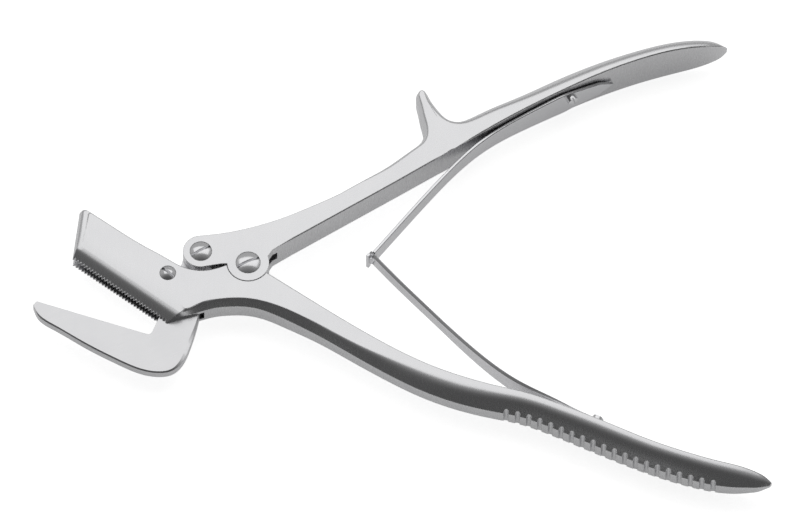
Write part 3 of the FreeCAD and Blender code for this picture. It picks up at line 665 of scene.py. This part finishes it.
def grooveCutter():
    value, places = splineThrough(lowerGrip)
    outer = []
    for where in numpy.linspace(0, places[-1], 400):
        row = value(where)
        out = -left(tangentAt(value, where))
        outer.append(row[:2] + out * row[2])
    travel = [0.0]
    for a, b in zip(outer, outer[1:]):
        travel.append(travel[-1] + math.dist(a, b))
    first = numpy.interp(grooves["start"], [p[0] for p in outer], travel)
    reach = grooves["pitch"] * (grooves["count"] - 1)
    spots = numpy.linspace(first, first + reach, 160)
    xs, ys = [numpy.interp(spots, travel, [p[axis] for p in outer]) for axis in (0, 1)]
    mesh = bpy.data.meshes.new("landLine")
    points = [pivot + Vector((x, y, 0)) * mm for x, y in zip(xs, ys)]
    mesh.from_pydata(points, [(i, i + 1) for i in range(len(points) - 1)], [])
    return grown("grooveCutter", *grooveTree(), {
        "Count": grooves["count"], "Width": grooves["width"] * mm, "Height": 2 * grooves["depth"] * mm,
        "Corner": grooves["corner"] * mm, "Length": grooves["length"] * mm,
        "Centring": (0, 0, -grooves["length"] / 2 * mm)}, mesh)


def toothCutter():
    pitch = forging["toothPitch"]
    notch = (forging["toothOpening"] * pitch / 2, forging["toothDepth"], forging["toothReach"] * forging["half"])
    cutter = grown("toothCutter", *toothTree(), {
        "Count": int(forging["toothRow"] / pitch), "Pitch": (pitch * mm, 0, 0), "Notch": tuple(Vector(notch) * mm)})
    start = pivot + Vector((*(numpy.array(forging["toothStart"]) + turned(forging["toothSlope"], pitch / 2)), 0)) * mm
    turn = Matrix.Rotation(math.radians(forging["toothSlope"]), 4, "Z")
    cutter.data.transform(Matrix.Translation(start) @ turn)
    return cutter


def slotCutter():
    start = numpy.array(forging["toothStart"])
    along = turned(forging["toothSlope"])
    roof = start + left(along) * forging["slotRoof"]
    ahead, over, under = 20, 30, -70        # clear of the jaw on three sides
    front = roof - along * ahead
    back = crossing(roof, along, (forging["slotFront"], 0.0), numpy.array((0.0, 1.0)))
    first, last = forging["slotBack"][0], forging["slotBack"][-1]
    outline = [front, back, (forging["slotFront"], over), (first[0], over)]
    outline += sampled(forging["slotBack"], 20) + [(last[0], under), (front[0], under)]
    return prism("slotCutter", outline, -forging["slotHalf"], forging["slotHalf"])


def dressForging():
    piece = makeForging()
    top = forging["half"] + 2
    origin = (0, 0)
    cutAway(piece, [
        rod("recessNear", origin, forging["recessRadius"], forging["tongueHalf"], top, 160),
        rod("recessFar", origin, forging["recessRadius"], -top, -forging["tongueHalf"], 160),
        slotCutter(),
        rod("guideSink", forging["guide"], forging["guideSink"] / 2, forging["half"] - forging["sinkDepth"], top),
        rod("guideBore", forging["guide"], forging["guideBore"] / 2 + boreGap, -top, top),
    ])
    cutAway(piece, [toothCutter()])
    cutAway(piece, [grooveCutter()])
    thin = forging["tongueHalf"] - forging["tongueGap"]
    joinInto(piece, [rod("tongue", origin, forging["tongueRadius"], -thin, thin)])
    finishPiece(piece, "main_body", satinSteel, 20.0)
    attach(piece, "main_body")


def joinInto(piece, others):
    work = bmesh.new()
    for part in [piece] + others:
        work.from_mesh(part.data)
    work.to_mesh(piece.data)
    work.free()
    for part in others:
        bpy.data.objects.remove(part)


# the drive handle: two ears on a slotted fork, a thumb spur and the upper grip
driver = {
    "half": 7.6, "bossRadius": 9.8, "throat": (-12.6, -0.6), "crotchReach": 43.0,
    "link": (-22.1, 6.1), "earRadius": 8.4, "slotRadius": 15.9, "slotHalf": 2.7,
    "top": [(-12.2, 15.9), (2.8, 19.6), (17.7, 25.1), (32.6, 32.2)],
    "pivotSink": 11.5, "pivotBore": 6.4, "linkSink": 10.3, "linkBore": 5.4, "sinkDepth": 2.6,
    # rim X and Y, X of the inner edge below, round part, half land, half width at the flat
    "spur": [
        (72.3, 59.2, 77.0, 2.4, 4.4, 7.4), (77.7, 63.9, 83.0, 2.6, 3.9, 7.45),
        (81.2, 67.6, 87.0, 2.7, 3.8, 7.45), (82.0, 72.0, 89.5, 2.7, 3.8, 7.45),
        (80.6, 79.5, 91.5, 2.6, 3.8, 7.45), (79.0, 87.5, 93.0, 2.3, 3.8, 7.45),
        (78.6, 92.4, 94.0, 1.8, 3.8, 7.45), (80.4, 94.6, 94.8, 1.5, 3.8, 7.45),
        (82.6, 94.4, 95.6, 1.6, 3.8, 7.45), (84.4, 91.6, 96.6, 2.1, 3.8, 7.45),
        (86.6, 87.6, 97.8, 2.6, 3.8, 7.45), (90.2, 82.6, 99.6, 2.9, 3.8, 7.6),
        (94.0, 79.3, 102.0, 3.4, 3.7, 7.9), (98.4, 78.5, 105.6, 4.4, 3.6, 8.3),
        (104.0, 80.6, 110.6, 5.3, 3.4, 8.7),
    ],
    "plainStations": (3, 5),        # the spur takes the place of the stations between these
    "ringStep": 1.25, "blendColumns": 10, "turnColumns": 8,
}
upperGrip = [
    (47.6, 29.9, 9.0, 15.2, 7.1, 8.5), (60.0, 37.8, 9.1, 15.2, 6.9, 8.4), (70.0, 44.2, 9.9, 15.3, 5.4, 8.0),
    (84.0, 53.3, 11.2, 15.7, 4.0, 7.6), (103.6, 66.0, 12.2, 17.0, 3.5, 7.2), (117.6, 74.9, 11.6, 18.6, 3.3, 5.8),
    (131.6, 83.2, 10.2, 19.6, 3.3, 3.6), (147.0, 91.6, 9.8, 20.6, 3.4, 2.2), (164.3, 100.2, 9.5, 21.8, 3.4, 1.6),
    (187.7, 109.5, 9.0, 22.6, 3.4, 1.2), (203.0, 113.9, 8.5, 21.6, 3.3, 1.0), (212.5, 116.0, 7.4, 18.4, 3.0, 0.8),
    (219.4, 117.7, 5.4, 13.6, 2.3, 0.5), (223.0, 118.9, 3.2, 8.4, 1.4, 0.3), (224.7, 119.7, 1.2, 3.2, 0.5, 0.1),
]


def driverColumns(heights):
    inner, places = splineThrough(upperGrip)

    def rimRow(i):
        column = gripColumn(upperGrip[i], tangentAt(inner, places[i]), 1, heights)
        return (*column["outer"], upperGrip[i][0], column["roll"], column["land"], column["shoulder"])

    before, after = driver["plainStations"]
    rim = [rimRow(i) for i in range(before)] + driver["spur"] + [rimRow(i) for i in range(after, len(upperGrip))]
    value, run = splineThrough(rim)
    count = round(run[-1] / driver["ringStep"])
    tries = numpy.linspace(0, places[-1], 300)
    xs = [inner(p)[0] for p in tries]
    columns = []
    for i in range(count + 1):
        where = run[-1] * i / count
        x, y, innerX, roll, land, shoulder = value(where)
        place = numpy.interp(innerX, xs, tries)
        row = inner(place)
        plain = left(tangentAt(inner, place))
        out = plain + (left(tangentAt(value, where)) - plain) * min(1.0, i / driver["turnColumns"])
        columns.append({"inner": row[:2], "outer": numpy.array((x, y)), "out": unit(out), "roll": roll,
                        "land": land, "half": row[3] / 2, "shoulder": shoulder, "innerHeights": heights})
    return columns


def forkRim(inset, z, first):
    inner, places = splineThrough(upperGrip)
    root, after = [numpy.array(row[:2]) for row in upperGrip[:2]]
    out = left(tangentAt(inner, 0.0))
    ear = onArc(driver["link"], driver["earRadius"], 100, 272, 30)
    boss = onArc((0, 0), driver["bossRadius"], 183, 380, 60)
    chin = root - unit(after - root) * driver["crotchReach"]
    second = after + left(tangentAt(inner, places[1])) * upperGrip[1][2]
    over = [second, root + out * upperGrip[0][2]] + [numpy.array(p) for p in driver["top"][::-1]] + [ear[0]]
    top = sampled(over, 60, first=1)
    edge = []
    for i, p in enumerate(top):
        into = left(runAt(top, i)) if i else -out
        edge.append(p + into * inset * (1 - i / 60))
    runs = chained(edge, ear, onLine(ear[-1], driver["throat"], 4), onLine(driver["throat"], boss[0], 2), boss,
                   onLine(boss[-1], chin, 3), onLine(chin, root, 8))
    shares = [0.0] * (len(runs) - 9) + [min(1.0, i / 2) for i in range(9)]
    return easedRim(runs, z, driver["half"], shares, first, 1, out)


def makeDriver():
    x, y, depth, _, land, flat = upperGrip[0]
    half = driver["half"]
    value = splineThrough(upperGrip)[0]
    roll = gripColumn(upperGrip[0], tangentAt(value, 0.0), 1, [])["roll"]
    path = rollPath(x)
    levels = [(depth - flat * s, half) for s in section["flatShares"][3:]]
    levels += [(roll * (1 - down), land + (half - land) * up) for down, up in path]
    levels += [(0.0, land * section["landShare"])]
    near = [forkRim(inset, z, i == 0) for i, (inset, z) in enumerate(levels)]
    far = [[(p[0], p[1], -p[2]) for p in rim] for rim in near]
    columns = driverColumns([z / half for inset, z in levels[4:]])
    rings = [ring(c, path, 1 - smooth(i / driver["blendColumns"])) for i, c in enumerate(columns)]
    return forged("driver", near, far, half, numpy.array((x, y)), left(tangentAt(value, 0.0)), flat, rings)


def dressDriver():
    piece = makeDriver()
    top = driver["half"] + 2
    reach = 2 * (abs(driver["link"][0]) + driver["earRadius"])
    thin = driver["slotHalf"]
    box = prism("forkBox", [(-reach, -reach / 2), (0, -reach / 2), (0, reach / 2), (-reach, reach / 2)], -thin, thin)
    sink = driver["half"] - driver["sinkDepth"]
    cutAway(piece, [
        rod("forkRound", (0, 0), driver["slotRadius"], -thin, thin, 160),
        box,
        rod("pivotSink", (0, 0), driver["pivotSink"] / 2, sink, top, 96),
        rod("pivotBore", (0, 0), driver["pivotBore"] / 2 + boreGap, -top, top),
        rod("linkSink", driver["link"], driver["linkSink"] / 2, sink, top, 96),
        rod("linkBore", driver["link"], driver["linkBore"] / 2 + boreGap, -top, top),
    ])
    finishPiece(piece, "drive_handle", satinSteel, 20.0)
    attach(piece, "drive_handle")


dressForging()
dressDriver()
print("forgings made")


# the lower jaw: a plate that hangs on the link screw and is led by the guide screw
jaw = {
    "half": 2.5, "tip": (-100.3, -19.8), "blade": [(-98.6, -17.9), (-45.4, -36.1)], "heel": (-41.2, -26.0),
    "heelRadius": 2.0, "guideWall": 4.6, "eyeRadius": 8.2, "waist": (-32.6, -0.2), "bevel": 0.6,
    "back": [(-17.5, -6.0), (-20.4, -15.0), (-23.5, -29.2), (-27.1, -42.4), (-30.4, -50.2), (-35.2, -55.0)],
    "sole": [(-42.1, -56.2), (-49.5, -54.8), (-60.8, -49.5), (-75.7, -40.9), (-90.6, -31.1), (-98.1, -25.2)],
    "bevelGrowth": [1.0, 1.0, 1.2, 2.8, 2.2, 1.3],      # how much wider the broken edge gets along the back
    "bore": 5.5, "travel": 38.0, "ratio": 0.5, "slotWidth": 3.9, "cutterHalf": 5,
}


def jawRim(inset, z):
    guide, link = numpy.array(forging["guide"]), numpy.array(driver["link"])
    blade = [numpy.array(p) for p in jaw["blade"]]
    heel, tip = numpy.array(jaw["heel"]), numpy.array(jaw["tip"])
    corner = roundCorner(blade[1], unit(blade[0] - blade[1]), unit(heel - blade[1]), jaw["heelRadius"], 8)
    wall = onArc(guide, jaw["guideWall"], 182, 118, 10)
    eye = onArc(link, jaw["eyeRadius"], 172, -20, 44)
    rim = [eye[-1]] + [numpy.array(p) for p in jaw["back"] + jaw["sole"]] + [tip]
    growth = [0.0] + jaw["bevelGrowth"] + [1.0] * len(jaw["sole"]) + [0.0]
    edge = sampled([(p[0], p[1], g) for p, g in zip(rim, growth)], 110)
    drawn = [row[:2] - left(runAt(edge, i)) * inset * max(0.0, row[2]) for i, row in enumerate(edge)]
    points = chained(onLine(blade[0], corner[0], 20), corner, [corner[-1], heel, wall[0]], wall,
                     sampled([wall[-1], jaw["waist"], eye[0]], 14), eye, drawn, [drawn[-1], blade[0]])
    return [(p[0], p[1], z) for p in points[:-1]]


def guideSlotCutter():
    # the path of the fixed guide screw across the plate, as the handles close
    link, guide = numpy.array(driver["link"]), numpy.array(forging["guide"])

    def swung(v, degrees):
        c = turned(degrees)
        return numpy.array((v[0] * c[0] - v[1] * c[1], v[0] * c[1] + v[1] * c[0]))

    path = []
    for angle in numpy.linspace(0, jaw["travel"], 25):
        path.append(link + swung(guide - swung(link, -angle), jaw["ratio"] * angle))
    wide = jaw["slotWidth"] / 2
    one, other = [[p + left(runAt(path, i)) * wide * side for i, p in enumerate(path)] for side in (1, -1)]

    def cap(end, before):
        angle = math.degrees(math.atan2(*(end - before)[::-1]))
        return onArc(end, wide, angle + 90, angle - 90, 14)

    outline = chained(one, cap(path[-1], path[-2]), other[::-1], cap(path[0], path[1]))
    return prism("guideSlot", outline[:-1], -jaw["cutterHalf"], jaw["cutterHalf"])


def dressJaw():
    half, bevel, reach = jaw["half"], jaw["bevel"], jaw["cutterHalf"]
    levels = [(bevel, half), (0.0, half - bevel), (0.0, bevel - half), (bevel, -half)]
    piece = loft("plate", [jawRim(inset, z) for inset, z in levels])
    cutAway(piece, [rod("jawBore", driver["link"], jaw["bore"] / 2, -reach, reach), guideSlotCutter()])
    finishPiece(piece, "lower_jaw", bladeSteel, 20.0)
    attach(piece, "lower_jaw")


dressJaw()
print("jaw plate made")

# the two leaf springs hook into each other; each is screwed to its handle
leaves = {
    "thick": 1.5, "tipHalf": 4.3, "rootHalf": 7.6, "seatGap": 0.35, "hook": (58.1, 6.6), "taper": 34.0,
    "archShare": 0.72, "archHalf": 0.6, "rootReach": 4.0, "edge": 0.28,
    "neckHalf": 2.3, "neckLength": 2.2, "hookHalf": 5.35, "hookLength": 1.9, "hookRise": 0.9,
    "prongGap": 0.3, "prongReach": 1.6, "screwZ": 3.0,
    "arch": 16, "archRings": 26, "plainRings": 70,      # length of the root's arch, and rings over it and before it
    "faceTries": 2000, "screwTries": 3000,
}
upperLeaf = {
    "line": [(70.6, 22.7), (85.5, 41.6), (98.0, 56.3), (108.2, 66.3), (118.3, 73.9)],
    "seat": [(132.0, 83.4), (152.4, 94.3), (170.5, 102.8)], "screwX": 151.1, "outward": 1, "reach": 0.0,
    "lean": 0.0}
lowerLeaf = {
    "line": [(69.5, -6.7), (84.4, -23.1), (106.9, -46.9), (126.2, -63.1), (144.3, -73.9)],
    "seat": [(156.0, -82.1), (162.9, -85.4), (171.5, -89.5)], "screwX": 161.9, "outward": -1, "reach": 1.6,
    "lean": 0.55}


def leafLine(leaf, stations):
    # the middle line of a leaf, from its hook to its seat along the handle's inner face
    face, places = splineThrough([s[:2] for s in stations])
    along = [face(p) for p in numpy.linspace(0, places[-1], leaves["faceTries"])]
    hook = numpy.array(leaves["hook"])
    line = [numpy.array(p) for p in leaf["line"]]
    points = [hook - unit(line[0] - hook) * leaf["reach"]] + line
    lift = leaves["seatGap"] + leaves["thick"] / 2
    for p in leaf["seat"]:
        i = min(range(1, len(along) - 1), key=lambda k: math.dist(along[k], p))
        points.append(along[i] + left(along[i + 1] - along[i - 1]) * -leaf["outward"] * lift)
    return splineThrough(points)


def leafHalf(leaf, x, startX, endX):
    # half width of the leaf, seen square to its length
    rootX = leaf["screwX"] - leaves["rootReach"]
    if x < startX + leaves["taper"]:
        return leaves["tipHalf"]
    if x < rootX:
        share = (x - startX - leaves["taper"]) / (rootX - startX - leaves["taper"])
        return leaves["tipHalf"] + (leaves["rootHalf"] - leaves["tipHalf"]) * share
    t = min(1.0, (x - rootX) / (endX - rootX))
    middle = leaves["archHalf"]
    # a parabola through the middle of the pointed arch
    top = 1 - t * (1 - middle) / leaves["archShare"]
    low = middle * (1 - t) / (1 - leaves["archShare"])
    return leaves["rootHalf"] * max(0.02, min(top, top + (low - top) * smooth(t)))


def leafRing(centre, normal, half, thick, lean):
    # an oblong with eased corners, square to the leaf; its edges may lean
    ease = min(leaves["edge"], half * 0.4)
    t = thick / 2
    low = half - min(lean, half * 0.4)
    corners = [(t - ease, half), (t, half - ease), (t, ease - half), (t - ease, -half),
               (ease - t, -low), (-t, ease - low), (-t, low - ease), (ease - t, low)]
    return [(*(centre + normal * a), z) for a, z in corners]


def makeLeaf(leaf, stations, start):
    value, places = leafLine(leaf, stations)
    first, last = value(0.0), value(places[-1])
    arch = leaves["arch"]
    wheres = list(numpy.linspace(start, places[-1] - arch, leaves["plainRings"]))
    wheres += list(places[-1] - arch * numpy.linspace(1, 0, leaves["archRings"])[1:])
    rings = []
    for where in wheres:
        centre = value(where)
        half = leafHalf(leaf, centre[0], first[0], last[0])
        rings.append(leafRing(centre, left(tangentAt(value, where)), half, leaves["thick"], leaf["lean"]))
    return loft("leaf", rings), value


def hookBar(name, value, place, low, high, rise, halfThick, halfWidth):
    # a small bar, low to high along the leaf at its hook
    centre = value(place)
    along = unit(tangentAt(value, place))
    side = left(along)
    outline = [centre + along * a + side * (rise + b) for a, b in
               ((low, -halfThick), (high, -halfThick), (high, halfThick), (low, halfThick))]
    piece = prism(name, outline, -halfWidth, halfWidth)
    eased = piece.modifiers.new("eased", "BEVEL")
    eased.width = 0.25 * mm
    eased.segments = 2
    settle(piece)
    return piece


def bendWithHandles(piece, node):
    seats = {name: screwSeat(leaf, stations)[0] for name, leaf, stations in leafPairs}
    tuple(seats["lower_spring"])
    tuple(seats["upper_spring"])
    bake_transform(piece)


def screwSeat(leaf, stations):
    # where a leaf's screw stands on its middle line, and the way that the screw points
    value, places = leafLine(leaf, stations)
    wheres = numpy.linspace(0, places[-1], leaves["screwTries"])
    where = min(wheres, key=lambda w: abs(value(w)[0] - leaf["screwX"]))
    centre = value(where)
    away = left(tangentAt(value, where)) * -leaf["outward"]
    return pivot + Vector((centre[0], centre[1], leaves["screwZ"])) * mm, Vector((away[0], away[1], 0.0))


leafPairs = [("upper_spring", upperLeaf, upperGrip), ("lower_spring", lowerLeaf, lowerGrip)]


def dressLeaves():
    half, gap = leaves["thick"] / 2, leaves["neckLength"] / 2
    for node, leaf, stations in leafPairs:
        hooked = node == "upper_spring"
        piece, value = makeLeaf(leaf, stations, gap if hooked else 0.0)
        if hooked:
            low = -gap - leaves["hookLength"] / 2
            joinInto(piece, [
                hookBar("neck", value, 0.0, low, 2 * gap, 0.0, half, leaves["neckHalf"]),
                hookBar("hook", value, 0.0, -gap - leaves["hookLength"], -gap, leaves["hookRise"], half,
                        leaves["hookHalf"])])
        else:
            notch = leaves["neckHalf"] + leaves["prongGap"]
            cutAway(piece, [hookBar("notch", value, leaves["prongReach"], -5, leaves["neckLength"], 0.0, 3.0, notch)])
        finishPiece(piece, node, springSteel, 32.0)
        bendWithHandles(piece, node)


dressLeaves()
print("leaf springs made")

# five slotted screws from one tree; each sits where its hole is
screws = {
    "pivot_screw": {"body": "drive_handle", "at": (0.0, 0.0), "head": 11.2, "shank": 6.4, "slot": 26},
    "link_screw": {"body": "drive_handle", "at": driver["link"], "head": 10.0, "shank": 5.4, "slot": 31},
    "guide_screw": {"body": "main_body", "at": forging["guide"], "head": 7.3, "shank": 3.8, "slot": -42},
}
flatScrew = {"height": 2.6, "dome": 1.45, "slotWidth": 1.3, "slotDepth": 2.9}
leafScrew = {"head": 5.4, "height": 2.4, "dome": 0.7, "shank": 3.0, "length": 6.3, "slotWidth": 0.9,
             "slotDepth": 1.6, "slot": 122}


def dressScrew(node, body, matrix, one, tree, keys):
    # a screw of the given sizes in mm, from its seat up along Z
    top = one["height"] + one["dome"]
    piece = grown(node, tree, keys, {
        "Head Radius": one["head"] / 2 * mm, "Head Height": one["height"] * mm, "Dome": one["dome"] * mm,
        "Shank Radius": one["shank"] / 2 * mm, "Shank Length": one["length"] * mm,
        "Head Centre": (0, 0, one["height"] / 2 * mm), "Shank Centre": (0, 0, -0.499 * one["length"] * mm),
        "Slot Size": tuple(Vector((2 * one["head"], one["slotWidth"], 2 * one["slotDepth"])) * mm),
        "Slot Centre": (0, 0, top * mm), "Slot Turn": (0, 0, math.radians(one["slot"]))})
    piece.data.transform(matrix)
    finishPiece(piece, node, polishedSteel, 35.0)
    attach(piece, body)


def dressScrews():
    tree, keys = screwTree()
    seat = forging["half"] - flatScrew["height"]
    length = seat + forging["half"] - 0.1       # the shank ends just inside the far side
    for node, one in screws.items():
        matrix = Matrix.Translation(pivot + Vector((*one["at"], seat)) * mm)
        dressScrew(node, one["body"], matrix, flatScrew | one | {"length": length}, tree, keys)
    for node, leaf, stations in leafPairs:
        centre, away = screwSeat(leaf, stations)
        turn = Vector((0, 0, 1)).rotation_difference(away).to_matrix().to_4x4()
        matrix = Matrix.Translation(centre + away * leaves["thick"] / 2 * mm) @ turn
        body = "drive_handle" if leaf is upperLeaf else "main_body"
        dressScrew(node + "_screw", body, matrix, leafScrew, tree, keys)


dressScrews()
print("screws made")


studio = {
    "keyElevation": 60.0, "keyDistance": 1.5, "keySize": (2.4, 1.36), "keyPower": 6.35,
    "paper": "#E6E6E6", "paperSeen": 0.8, "paperMirrored": 0.27, "paperReach": 0.45,
    "paperFade": 2.2, "floorHalf": 6.0, "floorDrop": 0.0002,     # m, the floor lies just under the table plane
    "roomBack": 0.45, "roomFront": 0.085, "roomFade": (-0.65, 0.5),
}


def makeStudio():
    floorMesh = bpy.data.meshes.new("studioFloor")
    half, under = studio["floorHalf"], -studio["floorDrop"]
    corners = [(-half, -half, under), (half, -half, under), (half, half, under), (-half, half, under)]
    floorMesh.from_pydata(corners, [], [(0, 1, 2, 3)])
    floor = newObject("studioFloor", floorMesh)
    paper = bpy.data.materials.new("whitePaper")
    tree = emptyTree(paper)
    path = addNode(tree, "ShaderNodeLightPath").outputs
    place = addNode(tree, "ShaderNodeTexCoord").outputs["Object"]
    away = addNode(tree, "ShaderNodeVectorMath", {"operation": "LENGTH"}, links={0: place}).outputs["Value"]
    # metal sees the paper near it, and the dark room past the paper's end
    end = studio["paperReach"]
    near = addNode(tree, "ShaderNodeMapRange", {"interpolation_type": "SMOOTHSTEP"},
                   {"From Min": end, "From Max": studio["paperFade"] * end, "To Min": 1.0, "To Max": 0.0},
                   {"Value": away})
    mirrored = addNode(tree, "ShaderNodeMath", {"operation": "MAXIMUM"},
                       links={0: path["Is Glossy Ray"], 1: path["Is Transmission Ray"]})
    hidden = addNode(tree, "ShaderNodeMath", {"operation": "SUBTRACT"}, {0: 1.0}, {1: near})
    dimmed = addNode(tree, "ShaderNodeMath", {"operation": "MULTIPLY"}, links={0: mirrored, 1: hidden})
    seen = addNode(tree, "ShaderNodeMath", {"operation": "MULTIPLY"}, {1: studio["paperSeen"]},
                   {0: path["Is Camera Ray"]})
    glowed = addNode(tree, "ShaderNodeMath", {"operation": "MULTIPLY_ADD"}, {1: studio["paperMirrored"]},
                     {0: mirrored, 2: seen})
    diffuse = addNode(tree, "ShaderNodeBsdfDiffuse", values={"Color": linear(studio["paper"])})
    glow = addNode(tree, "ShaderNodeEmission", values={"Color": (1, 1, 1, 1)}, links={"Strength": glowed})
    both = addNode(tree, "ShaderNodeAddShader", links={0: diffuse, 1: glow})
    dark = addNode(tree, "ShaderNodeBsdfDiffuse", values={"Color": (0.0, 0.0, 0.0, 1.0)})
    mixed = addNode(tree, "ShaderNodeMixShader", links={0: dimmed, 1: both, 2: dark})
    addNode(tree, "ShaderNodeOutputMaterial", links={"Surface": mixed})
    floorMesh.materials.append(paper)

    light = bpy.data.lights.new("backSoftbox", "AREA")
    light.shape = "RECTANGLE"
    light.size, light.size_y = studio["keySize"]
    light.energy = studio["keyPower"]
    lamp = newObject("backSoftbox", light)
    up = math.radians(studio["keyElevation"])
    aim = Vector((0.0, math.cos(up), math.sin(up)))
    lamp.location = aim * studio["keyDistance"]
    lamp.rotation_mode = "QUATERNION"
    lamp.rotation_quaternion = aim.to_track_quat("Z", "Y")

    world = bpy.data.worlds.new("studioRoom")
    bpy.context.scene.world = world
    tree = emptyTree(world)
    toBack = addNode(tree, "ShaderNodeSeparateXYZ",
                     links={0: addNode(tree, "ShaderNodeTexCoord").outputs["Generated"]}).outputs["Y"]
    front, back = studio["roomFade"]
    shade = addNode(tree, "ShaderNodeMapRange", {"interpolation_type": "SMOOTHSTEP"},
                    {"From Min": front, "From Max": back, "To Min": studio["roomFront"], "To Max": studio["roomBack"]},
                    {"Value": toBack})
    strength = addNode(tree, "ShaderNodeMix", {"data_type": "FLOAT"}, {3: 1.0},
                       {0: addNode(tree, "ShaderNodeLightPath").outputs["Is Camera Ray"], 2: shade})
    sky = addNode(tree, "ShaderNodeBackground", values={"Color": (1, 1, 1, 1)}, links={"Strength": strength})
    addNode(tree, "ShaderNodeOutputWorld", links={"Surface": sky})


makeStudio()
bpy.context.scene.view_settings.view_transform = "Standard"
print("studio lit")
